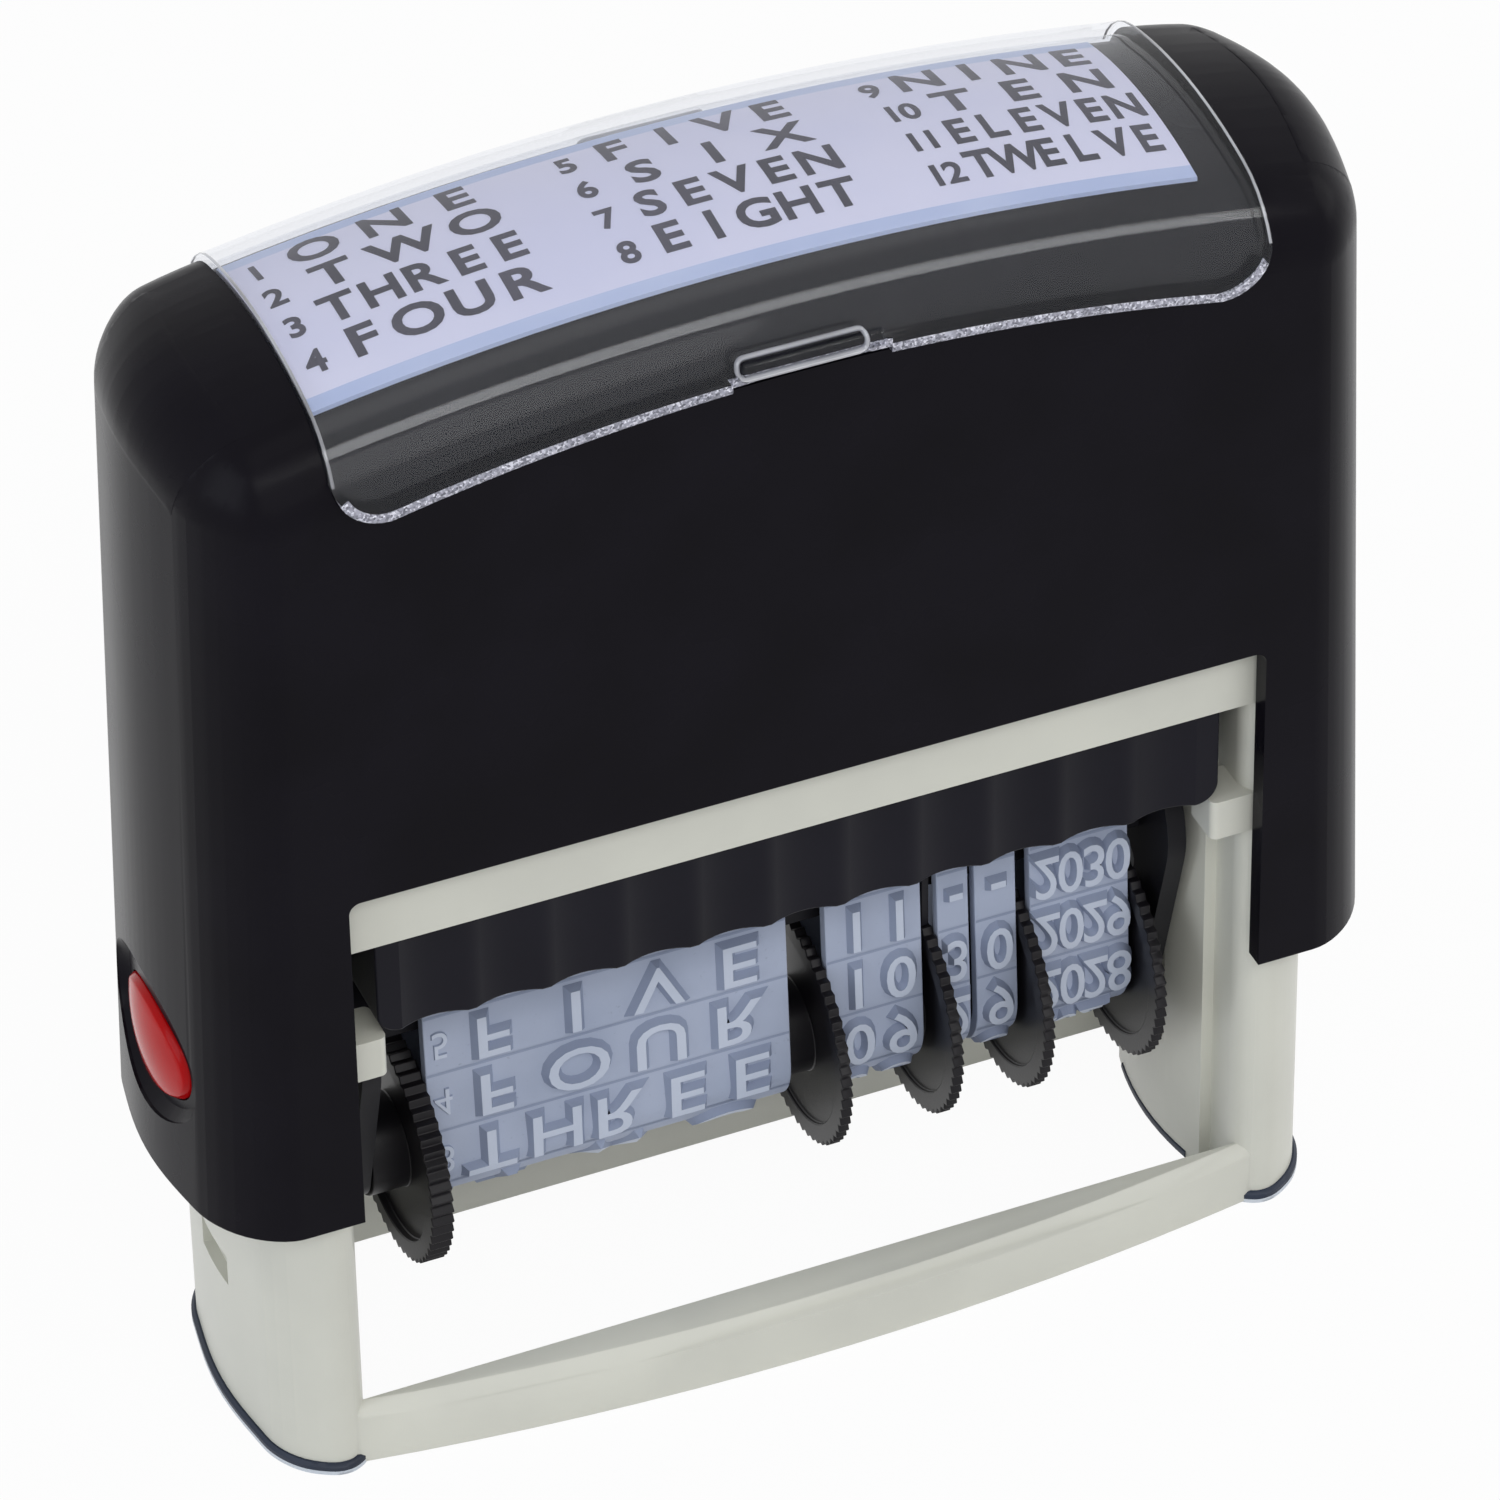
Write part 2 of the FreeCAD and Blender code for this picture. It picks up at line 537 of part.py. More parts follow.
def base_bar():
    """The front bar of the base ring, bowed outwards in plan."""
    y_end = -BAR_INNER_Y - BAR_EDGE
    x = LEG_INNER_X + LEG_INNER_CORNER
    face = Part.Face(Part.Wire([
        line(vec(x, y_end, BAR_LIFT), vec(x, -BAR_INNER_Y, BAR_LIFT)),
        line(vec(x, -BAR_INNER_Y, BAR_LIFT), vec(-x, -BAR_INNER_Y, BAR_LIFT)),
        line(vec(-x, -BAR_INNER_Y, BAR_LIFT), vec(-x, y_end, BAR_LIFT)),
        arc(vec(-x, y_end, BAR_LIFT), vec(0, y_end - BAR_BOW, BAR_LIFT), vec(x, y_end, BAR_LIFT)),
    ]))
    bar = face.extrude(vec(0, 0, BAR_TOP_Z - BAR_LIFT))
    bowed = edges_where(bar, lambda b: b.XLength > x and b.ZMin > BAR_LIFT + 1.0 and b.YLength > 1.0)
    return bar.makeFillet(BAR_FILLET, bowed)


def pilaster():
    """The rounded rib on the right leg's inner face that holds the slot and the cam groove."""
    root, edge = LEG_INNER_X + 0.3, LEG_INNER_X - PILASTER_EDGE_DEPTH
    half = PILASTER_HALF_WIDTH
    face = Part.Face(Part.Wire([
        line(vec(root, -half, BAR_LIFT), vec(edge, -half, BAR_LIFT)),
        arc(vec(edge, -half, BAR_LIFT), vec(LEG_INNER_X - PILASTER_DEPTH, 0, BAR_LIFT),
            vec(edge, half, BAR_LIFT)),
        line(vec(edge, half, BAR_LIFT), vec(root, half, BAR_LIFT)),
        line(vec(root, half, BAR_LIFT), vec(root, -half, BAR_LIFT)),
    ]))
    return face.extrude(vec(0, 0, LEDGE_TOP_Z - BAR_LIFT))


def trunnion_slot(x0, x1):
    """The straight slot that the trunnion slides down, from rest to the end of the stroke."""
    radius = TRUNNION_RADIUS + SLIDE_GAP
    slot = belt_wire([(0, TRUNNION_Z - STROKE, radius), (0, TRUNNION_Z, radius)], x0)
    return Part.Face(slot).extrude(vec(x1 - x0, 0, 0))


def follower_point(turn):
    """Where the follower pin stands when the type unit has turned by an angle in radians."""
    z = TRUNNION_Z - STROKE * turn / math.radians(FLIP_DEG)
    return (FOLLOWER_RADIUS * math.sin(turn), z - FOLLOWER_RADIUS * math.cos(turn))


def cam_groove(x0, x1):
    """The groove that turns the type unit over: the space that the follower pin sweeps."""
    width = FOLLOWER_PIN_RADIUS + SLIDE_GAP
    path = [follower_point(math.radians(FLIP_DEG) * i / CAM_STEPS) for i in range(CAM_STEPS + 1)]
    strokes = [Part.Face(belt_wire([(*a, width), (*b, width)], x0)).extrude(vec(x1 - x0, 0, 0))
               for a, b in zip(path, path[1:])]
    return fuse_all(strokes[0], strokes[1:])


def lock_pocket(z):
    """A shallow pocket in the right leg's outer wall that takes the button's nib."""
    half_w, half_h = NIB_HALF_WIDTH + 2.0 * SLIDE_GAP, NIB_HALF_HEIGHT + 2.0 * SLIDE_GAP
    return box(LEG_OUTER_X - BUTTON_TRAVEL, LEG_OUTER_X + 1.0, -half_w, half_w, z - half_h, z + half_h)


def ledges():
    """The right leg's two tabs that the cassette slides on, front and back."""
    y1 = STRIP_Y
    y0 = y1 - LEDGE_LENGTH
    x0, x1 = LEG_INNER_X - LEDGE_REACH, LEG_INNER_X + LEG_WALL / 2.0
    tabs = [box(x0, x1, a, b, LEDGE_TOP_Z - LEDGE_HEIGHT, LEDGE_TOP_Z)
            for a, b in ((-y1, -y0), (y0, y1))]
    rounded = []
    for tab in tabs:
        ends = edges_where(tab, lambda b: b.ZLength > LEDGE_HEIGHT / 2.0 and b.XMax < LEG_INNER_X)
        rounded.append(tab.makeFillet(0.5, ends))
    return rounded


def spring_spigot(z, height):
    return Part.makeCylinder(SPIGOT_RADIUS, height, vec(SPRING_X, 0, z))


def frame():
    """The moulded frame: base ring, two hollow legs, ledges, head strips and spring deck."""
    leg = leg_face(0.0, FOOT_THICKNESS).extrude(vec(0, 0, LEG_TOP_Z - FOOT_THICKNESS))
    right = leg.fuse([pilaster()] + ledges())
    cavity = leg_face(-LEG_WALL, LEG_FLOOR_Z).extrude(vec(0, 0, LEG_TOP_Z))
    right = right.cut(cavity)
    inner = LEG_INNER_X - PILASTER_DEPTH - 1.0
    right = right.cut(trunnion_slot(inner, CAVITY_INNER_X + 0.5))
    right = right.cut(cam_groove(inner, LEG_INNER_X - PILASTER_DEPTH + GROOVE_DEPTH))
    for z in (BUTTON_Z, BUTTON_Z - STROKE):
        right = right.cut(lock_pocket(z))
    reach = LEG_INNER_X + LEG_WALL / 2.0
    strips = [box(-reach, reach, a, b, STRIP_BOTTOM_Z, LEG_TOP_Z)
              for a, b in ((-STRIP_Y, STRIP_WALL - STRIP_Y), (STRIP_Y - STRIP_WALL, STRIP_Y))]
    deck = box(-reach, reach, -STRIP_Y, STRIP_Y, STRIP_BOTTOM_Z, DECK_TOP_Z)
    bars = [base_bar(), base_bar().mirror(vec(0, 0, 0), vec(0, 1, 0))]
    spigots = both_sides(spring_spigot(STRIP_BOTTOM_Z, DECK_THICKNESS + SPIGOT_HEIGHT))
    whole = fuse_all(right, [other_side(right), deck] + strips + bars + spigots)
    for pad in both_sides(foot()):
        whole = whole.cut(pad)
    return whole


def foot():
    """The right-hand foot pad: the leg's outline with a thin lip outside it."""
    pad = leg_face(FOOT_LIP, 0.0).extrude(vec(0, 0, FOOT_THICKNESS))
    top = edges_where(pad, lambda b: b.ZMin > FOOT_THICKNESS / 2.0)
    return pad.makeChamfer(FOOT_LIP * 0.6, top)


def cassette_tray():
    """The ink cassette's tray, open below, with a low fluted front lip and a high rear lip."""
    bottom = LEDGE_TOP_Z + SIDE_GAP
    top = STRIP_BOTTOM_Z - TRAY_TOP_GAP
    x, y = TRAY_HALF_WIDTH, TRAY_HALF_DEPTH
    tray = box(-x, x, -y, y, bottom, top)
    corners = edges_where(tray, lambda b: b.YLength > y and b.ZMax < bottom + 1.0)
    tray = tray.makeFillet(TRAY_CORNER, corners)
    tray = tray.cut(box(-x + TRAY_WALL, x - TRAY_WALL, -y + TRAY_WALL, y - TRAY_WALL, bottom - 1.0,
                        top - TRAY_ROOF))
    rear_lip_z = PAD_FACE_Z - REAR_LIP_GAP
    tray = tray.cut(box(-x + TRAY_WALL, x - TRAY_WALL, 0, y + 1.0, bottom - 1.0, rear_lip_z))
    radius = (FLUTE_WIDTH ** 2 / 4.0 + FLUTE_DEPTH ** 2) / (2.0 * FLUTE_DEPTH)
    count = int((x - TRAY_CORNER) / FLUTE_PITCH)
    for i in range(-count, count + 1):
        flute = Part.makeCylinder(radius, top - bottom + 2.0,
                                  vec(i * FLUTE_PITCH, -y - radius + FLUTE_DEPTH, bottom - 1.0))
        tray = tray.cut(flute)
    return tray


def ink_pad():
    """The felt pad glued under the tray's roof."""
    x, y = TRAY_HALF_WIDTH - TRAY_WALL - SIDE_GAP, TRAY_HALF_DEPTH - TRAY_WALL - SIDE_GAP
    pad = box(-x, x, -y, y, PAD_FACE_Z, STRIP_BOTTOM_Z - TRAY_TOP_GAP - TRAY_ROOF)
    return pad.makeFillet(0.4, edges_where(pad, lambda b: b.ZLength > 1.0))


def band_columns():
    """Each band and its setting wheel: name, band's left and right, rim thickness, rim side."""
    left = PHRASE_LEFT
    columns = []
    for name, width, gap, rim, side in (
            ("phrase", PHRASE_WIDTH, PHRASE_TO_DATE, PHRASE_RIM, -1),
            ("month", MONTH_WIDTH, MONTH_TO_DAY, DATE_RIM, -1),
            ("day_tens", DAY_TENS_WIDTH, TENS_TO_UNITS, DATE_RIM, -1),
            ("day_units", DAY_UNITS_WIDTH, UNITS_TO_YEAR, DATE_RIM, 1),
            ("year", YEAR_WIDTH, 0.0, DATE_RIM, 1)):
        columns.append((name, left, left + width, rim, side))
        left += width + gap
    return columns


def band_discs(shrink):
    """The discs that a band runs round: the wheel's hub and the two corners of the nose."""
    corner = NOSE_CORNER - shrink
    y = NOSE_HALF_WIDTH - NOSE_CORNER
    z = TRUNNION_Z + BAND_FACE_RADIUS - NOSE_CORNER
    hub = HUB_RADIUS + RUNNING_GAP + BAND_THICKNESS - shrink
    return [(0, AXLE_Z, hub), (y, z, corner), (-y, z, corner)]


def band(left, right):
    """A rubber band: an endless strip round the hub and the nose."""
    outside, inside = [Part.Face(belt_wire(band_discs(depth), left)).extrude(vec(right - left, 0, 0))
                       for depth in (0.0, BAND_THICKNESS)]
    return outside.cut(inside)


def wheel_outline(x):
    """A finely toothed rim for the finger, its teeth spaced by angle."""
    points = []
    for i in range(2 * WHEEL_TEETH):
        angle = math.pi * i / WHEEL_TEETH
        radius = WHEEL_RADIUS - TOOTH_DEPTH * (i % 2)
        points.append(vec(x, radius * math.cos(angle), AXLE_Z + radius * math.sin(angle)))
    return Part.Face(Part.makePolygon(points + points[:1]))


def setting_wheel(left, right, rim, side, start, end):
    """A setting wheel: a dished, toothed rim beside the band and a hub that the band runs on."""
    rim0 = left - SIDE_GAP - rim if side < 0 else right + SIDE_GAP
    disc = wheel_outline(rim0).extrude(vec(rim, 0, 0))
    dish = rod_x(WHEEL_RADIUS - DISH_RIM, rim0, rim0 + rim * DISH_DEPTH_SHARE, 0, AXLE_Z)
    wheel = fuse_all(disc.cut(dish), [rod_x(HUB_RADIUS, start, end, 0, AXLE_Z)])
    return wheel.cut(rod_x(AXLE_RADIUS + RUNNING_GAP, start - 1.0, end + 1.0, 0, AXLE_Z))


def wheel_spans():
    """Where each wheel's hub starts and ends along the axle, with a side gap between them."""
    columns = band_columns()
    first = -CARRIER_INNER_X + SIDE_GAP
    starts = [first]
    for (_, _, right, rim, side) in columns[:-1]:
        edge = right + SIDE_GAP + (rim if side > 0 else 0.0)
        starts.append(edge + SIDE_GAP)
    ends = [s - SIDE_GAP for s in starts[1:]] + [CARRIER_INNER_X - SIDE_GAP]
    return list(zip(starts, ends))


def band_carrier():
    """The type unit's frame: two end plates and the spine bar inside the bands."""
    discs = [(0, AXLE_Z, CARRIER_FOOT_RADIUS), (0, TRUNNION_Z, CARRIER_TOP_RADIUS)]
    plate = Part.Face(belt_wire(discs, CARRIER_INNER_X)).extrude(vec(CARRIER_PLATE, 0, 0))
    spine = box(-CARRIER_INNER_X - 0.5, CARRIER_INNER_X + 0.5, -SPINE_HALF_WIDTH, SPINE_HALF_WIDTH,
                TRUNNION_Z - SPINE_BELOW, TRUNNION_Z + SPINE_ABOVE)
    carrier = fuse_all(plate, [other_side(plate), spine])
    reach = CARRIER_OUTER_X + 1.0
    carrier = carrier.cut(rod_x(AXLE_RADIUS, -reach, reach, 0, AXLE_Z))
    for radius, z in ((TRUNNION_RADIUS, TRUNNION_Z), (FOLLOWER_PIN_RADIUS, TRUNNION_Z - FOLLOWER_RADIUS)):
        for tool in both_sides(rod_x(radius, CARRIER_INNER_X, reach, 0, z)):
            carrier = carrier.cut(tool)
    return carrier


def band_guides():
    """The nose bar that the bands run over, with fins that keep them apart."""
    outer = Part.Face(belt_wire(band_discs(BAND_THICKNESS + SEAT_GAP), -CARRIER_INNER_X + SIDE_GAP))
    bar = outer.extrude(vec(2.0 * (CARRIER_INNER_X - SIDE_GAP), 0, 0))
    seat = TRUNNION_Z + SPINE_ABOVE
    above = box(-CARRIER_INNER_X, CARRIER_INNER_X, -CAP_HALF_DEPTH, CAP_HALF_DEPTH, seat, CAP_TOP_Z)
    bar = bar.common(above)
    columns = band_columns()
    lefts = [c[1] for c in columns]
    rights = [c[2] for c in columns]
    places = [(lefts[0] - SIDE_GAP - GUIDE_FIN, lefts[0] - SIDE_GAP)]
    for right, left in zip(rights[:-1], lefts[1:]):
        thickness = min(GUIDE_FIN, left - right - 2.0 * SIDE_GAP)
        middle = (left + right) / 2.0
        places.append((middle - thickness / 2.0, middle + thickness / 2.0))
    places.append((rights[-1] + SIDE_GAP, rights[-1] + SIDE_GAP + GUIDE_FIN))
    fins = []
    for x0, x1 in places:
        fin = Part.Face(belt_wire(band_discs(SIDE_GAP), x0)).extrude(vec(x1 - x0, 0, 0))
        fins.append(fin.common(above))
    return fuse_all(bar, fins)


def trunnion_pin():
    """The right-hand trunnion, from the end plate through the leg's slot into the yoke's arm."""
    end = CAVITY_OUTER_X - YOKE_ARM_GAP - TRUNNION_END_GAP
    pin = rod_x(TRUNNION_RADIUS, CARRIER_INNER_X, end, 0, TRUNNION_Z)
    return pin.makeChamfer(0.3, edges_where(pin, lambda b: b.XMin > end - 0.1))


def follower_pin():
    """The right-hand follower pin that runs in the cam groove."""
    end = LEG_INNER_X - PILASTER_DEPTH + GROOVE_DEPTH - FOLLOWER_END_GAP
    pin = rod_x(FOLLOWER_PIN_RADIUS, CARRIER_INNER_X, end, 0, TRUNNION_Z - FOLLOWER_RADIUS)
    return pin.makeChamfer(0.2, edges_where(pin, lambda b: b.XMin > end - 0.1))


def drive_yoke():
    """The yoke under the cap's ceiling: an arched bridge, spring seats and an arm down each leg."""
    ceiling = CAP_CEILING + SEAT_GAP
    under = arch_block(ceiling)
    x0, x1 = CAVITY_INNER_X + YOKE_ARM_GAP, CAVITY_OUTER_X - YOKE_ARM_GAP
    bridge = under.cut(arch_block(ceiling + YOKE_PLATE)).common(
        box(-x1, x1, -YOKE_HALF_DEPTH, YOKE_HALF_DEPTH, GUIDE_BAY_TOP_Z, CAP_TOP_Z))
    half = YOKE_ARM_HALF_WIDTH
    foot_z = TRUNNION_Z - TRUNNION_RADIUS - YOKE_PLATE
    arm = box(x0, x1, -half, half, foot_z, CAP_TOP_Z).common(under)
    arm = arm.cut(rod_x(TRUNNION_RADIUS + RUNNING_GAP, x0 - 1.0, x1 + 1.0, 0, TRUNNION_Z))
    seat = Part.makeCylinder(YOKE_SEAT_RADIUS, CAP_TOP_Z - SPRING_SEAT_Z, vec(SPRING_X, 0, SPRING_SEAT_Z))
    spigot = spring_spigot(SPRING_SEAT_Z - SPIGOT_HEIGHT, SPIGOT_HEIGHT + 0.5)
    return fuse_all(bridge, both_sides(arm) + both_sides(seat.common(under)) + both_sides(spigot))


def spring_path(radius, z0, z1):
    """A helix of short straight runs, with half a flat turn at each end."""
    def point(step):
        share = (step / WIRE_RUNS - 0.5) / (SPRING_TURNS - 1.0)
        angle = 2.0 * math.pi * step / WIRE_RUNS
        return vec(SPRING_X + radius * math.cos(angle), radius * math.sin(angle),
                   z0 + (z1 - z0) * min(max(share, 0.0), 1.0))
    return Part.makePolygon([point(step) for step in range(SPRING_TURNS * WIRE_RUNS + 1)])


def return_spring():
    """The right-hand return spring, between the frame's deck and the yoke."""
    wire = SPRING_WIRE_RADIUS
    z0, z1 = DECK_TOP_Z + wire + SEAT_GAP, SPRING_SEAT_Z - wire - SEAT_GAP
    path = spring_path(SPRING_MEAN_RADIUS, z0, z1)
    start, direction = path.Vertexes[0].Point, path.Edges[0].tangentAt(0)
    across = vec(direction.y, -direction.x, 0)
    up = vec(0, 0, 1)
    corners = [start + across * (wire * math.cos(a)) + up * (wire * math.sin(a))
               for a in (2.0 * math.pi * i / WIRE_SIDES for i in range(WIRE_SIDES + 1))]
    tube = Part.BRepOffsetAPI.MakePipeShell(path)
    tube.setTransitionMode(1)
    tube.add(Part.makePolygon(corners), False, False)
    tube.build()
    tube.makeSolid()
    pitch = (z1 - z0) / (SPRING_TURNS - 1)
    pressed = (z1 - z0 - STROKE) / (SPRING_TURNS - 1)
    print("return spring: gap between turns at rest %.2f, pressed %.2f" % (
        pitch - 2.0 * wire, pressed - 2.0 * wire))
    return tube.shape()


def wheel_axle():
    """The steel axle through the setting wheels, held in the end plates."""
    return rod_x(AXLE_RADIUS, -CARRIER_OUTER_X, CARRIER_OUTER_X, 0, AXLE_Z)


def build_nodes():
    nodes = {
        "frame": frame(),
        "cap_shell": cap_shell(),
        "index_cover": index_cover(),
        "index_card": index_card(),
        "cassette_tray": cassette_tray(),
        "ink_pad": ink_pad(),
        "drive_yoke": drive_yoke(),
        "band_carrier": band_carrier(),
        "band_guides": band_guides(),
        "wheel_axle": wheel_axle(),
    }
    for name, right in (("foot", foot()), ("lock_button", lock_button()),
                        ("trunnion_pin", trunnion_pin()), ("follower_pin", follower_pin()),
                        ("return_spring", return_spring())):
        nodes[name + "_right"] = right
        nodes[name + "_left"] = other_side(right)
    for (name, left, right, rim, side), (start, end) in zip(band_columns(), wheel_spans()):
        nodes[name + "_band"] = band(left, right)
        nodes[name + "_wheel"] = setting_wheel(left, right, rim, side, start, end)
    return nodes


def main():
    os.makedirs("parts", exist_ok=True)
    for name, shape in sorted(build_nodes().items()):
        solids = len(shape.Solids)
        print("%-22s valid %s, solids %d, volume %.1f" % (name, shape.isValid(), solids, shape.Volume))
        shape.exportStep("parts/%s.step" % name)


main()
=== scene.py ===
"""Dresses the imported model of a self-inking phrase and date stamp.

Metres, +Z up, the front along -Y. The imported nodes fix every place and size; the pieces made here
give them their finish: smooth mouldings, raised type, a printed card and a clear, frosted cover.
"""

import json
import logging
import math
from dataclasses import dataclass, field
from enum import Enum
from functools import cache
from itertools import repeat
from typing import Callable, Iterable

import bmesh
import bpy
from mathutils import Matrix, Vector
from mathutils.bvhtree import BVHTree

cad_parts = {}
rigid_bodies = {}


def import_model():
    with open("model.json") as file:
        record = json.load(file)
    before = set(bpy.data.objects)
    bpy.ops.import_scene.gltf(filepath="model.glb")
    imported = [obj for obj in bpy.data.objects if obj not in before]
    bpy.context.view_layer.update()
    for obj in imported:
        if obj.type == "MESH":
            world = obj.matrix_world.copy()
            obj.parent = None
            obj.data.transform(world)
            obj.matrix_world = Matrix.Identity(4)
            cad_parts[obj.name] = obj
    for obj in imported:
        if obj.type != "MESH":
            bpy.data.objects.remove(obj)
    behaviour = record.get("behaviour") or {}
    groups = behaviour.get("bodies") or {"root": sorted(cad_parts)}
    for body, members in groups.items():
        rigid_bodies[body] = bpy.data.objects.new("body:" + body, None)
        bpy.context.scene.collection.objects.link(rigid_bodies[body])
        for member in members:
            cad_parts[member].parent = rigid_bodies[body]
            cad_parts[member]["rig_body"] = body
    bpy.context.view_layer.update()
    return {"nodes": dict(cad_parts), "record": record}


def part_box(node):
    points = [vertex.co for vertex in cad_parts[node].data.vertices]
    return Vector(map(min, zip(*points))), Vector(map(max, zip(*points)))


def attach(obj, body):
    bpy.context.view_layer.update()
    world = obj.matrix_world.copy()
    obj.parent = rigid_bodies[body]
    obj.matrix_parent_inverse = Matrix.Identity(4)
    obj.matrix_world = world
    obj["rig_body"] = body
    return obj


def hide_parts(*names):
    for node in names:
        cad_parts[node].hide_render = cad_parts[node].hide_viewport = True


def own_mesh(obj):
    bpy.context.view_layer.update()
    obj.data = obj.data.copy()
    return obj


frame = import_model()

MM = 0.001
MERGE = 1e-6  # how near points are merged, in metres
FLAT_TURN = 0.08  # the most that two faces of one flat turn, in degrees
SHARP_TURN = 28.0  # the least turn between two faces that counts as an edge, in degrees
WHITE = (1.0, 1.0, 1.0, 1.0)

BMesh = bmesh.types.BMesh
Colour = tuple[float, float, float, float]
log = logging.getLogger("stamp")


def srgb(red: int, green: int, blue: int) -> Colour:
    """Turn a colour as a screen shows it into the linear colour that shaders take.

    Args:
        red: Red, from 0 to 255.
        green: Green, from 0 to 255.
        blue: Blue, from 0 to 255.

    Returns:
        The linear colour with an alpha of 1.
    """
    def linear(channel: int) -> float:
        """One channel in linear light."""
        share = channel / 255.0
        return share / 12.92 if share <= 0.04045 else ((share + 0.055) / 1.055) ** 2.4
    return (linear(red), linear(green), linear(blue), 1.0)


class Value:
    """A socket in an expression: each operator adds the Math node that it needs."""

    def __init__(self, tree: "Tree", socket: bpy.types.NodeSocket) -> None:
        """Wrap a socket of one tree."""
        self.tree = tree
        self.socket = socket

    def math(self, operation: str, *operands: "Value | float") -> "Value":
        """The result of a Math node of an operation, with its inputs in order."""
        return self.tree.value("ShaderNodeMath", dict(enumerate(operands)), {"operation": operation})

    def __add__(self, other: "Value | float") -> "Value":
        """Sum."""
        return self.math("ADD", self, other)

    def __sub__(self, other: "Value | float") -> "Value":
        """Difference."""
        return self.math("SUBTRACT", self, other)

    def __rsub__(self, other: "Value | float") -> "Value":
        """Difference from a number."""
        return self.math("SUBTRACT", other, self)

    def __mul__(self, other: "Value | float") -> "Value":
        """Product."""
        return self.math("MULTIPLY", self, other)

    __radd__ = __add__
    __rmul__ = __mul__

    def power(self, exponent: float) -> "Value":
        """The value raised to a power."""
        return self.math("POWER", self, exponent)

    def most(self, other: "Value") -> "Value":
        """The larger of two."""
        return self.math("MAXIMUM", self, other)

    def step(self, low: float, high: float) -> "Value":
        """A smooth step from 0 at low to 1 at high."""
        return self.tree.value("ShaderNodeMapRange", {"Value": self, "From Min": low, "From Max": high},
                               {"interpolation_type": "SMOOTHSTEP"})


class Tree:
    """A node tree, written as Python expressions."""

    SEEING = ("Is Camera Ray", "Is Glossy Ray", "Is Transmission Ray")

    def __init__(self, tree: bpy.types.NodeTree, output: str) -> None:
        """Empty a tree and give it its output.

        Args:
            tree: The material's or world's tree.
            output: The output node's type.
        """
        self.nodes, self.links = tree.nodes, tree.links
        self.nodes.clear()
        self.output = self.node(output)

    def node(self, kind: str, settings: dict | None = None, inputs: dict | None = None) -> bpy.types.Node:
        """Add a node.

        Args:
            kind: The node's type.
            settings: Its properties, set first; "stops" holds a ramp's places and colours.
            inputs: Its inputs by name or number, each a value or a link.

        Returns:
            The node.
        """
        made = self.nodes.new(kind)
        for name, value in (settings or {}).items():
            if name == "stops":
                self._ramp(made.color_ramp, value)
            else:
                setattr(made, name, value)
        for key, value in (inputs or {}).items():
            self.feed(made.inputs[key], value)
        return made

    def value(self, kind: str, inputs: dict | None = None, settings: dict | None = None,
              output: int | str = 0) -> Value:
        """Add a node as above and take one of its outputs, by name or number."""
        return Value(self, self.node(kind, settings, inputs).outputs[output])

    @staticmethod
    def _ramp(ramp: bpy.types.ColorRamp, stops: list[tuple[float, Colour]]) -> None:
        """Set a colour ramp's stops.

        Args:
            ramp: The ramp.
            stops: Each stop's place, from 0 to 1, and its colour.
        """
        while len(ramp.elements) < len(stops):
            ramp.elements.new(0.5)
        for element, (place, colour) in zip(ramp.elements, stops):
            element.position = place
            element.color = colour

    def feed(self, socket: bpy.types.NodeSocket, value: "Value | float | tuple") -> None:
        """Give a socket a link or a value.

        Args:
            socket: The socket.
            value: What it takes.
        """
        if isinstance(value, Value):
            self.links.new(value.socket, socket)
        else:
            socket.default_value = value

    def blend(self, share: "Value | float", first: Value, second: Value) -> Value:
        """A mix of two shaders, the second's share from 0 to 1."""
        return self.value("ShaderNodeMixShader", {0: share, 1: first, 2: second})

    def seen(self) -> Value:
        """How far the camera, gloss or clear plastic sees what is shaded, 0 or 1.

        Returns:
            The value.
        """
        rays = self.node("ShaderNodeLightPath")
        camera, glossy, through = (Value(self, rays.outputs[kind]) for kind in self.SEEING)
        return camera.most(glossy.most(through))

    def show(self, surface: Value) -> None:
        """Send a shader to the output."""
        self.feed(self.output.inputs["Surface"], surface)


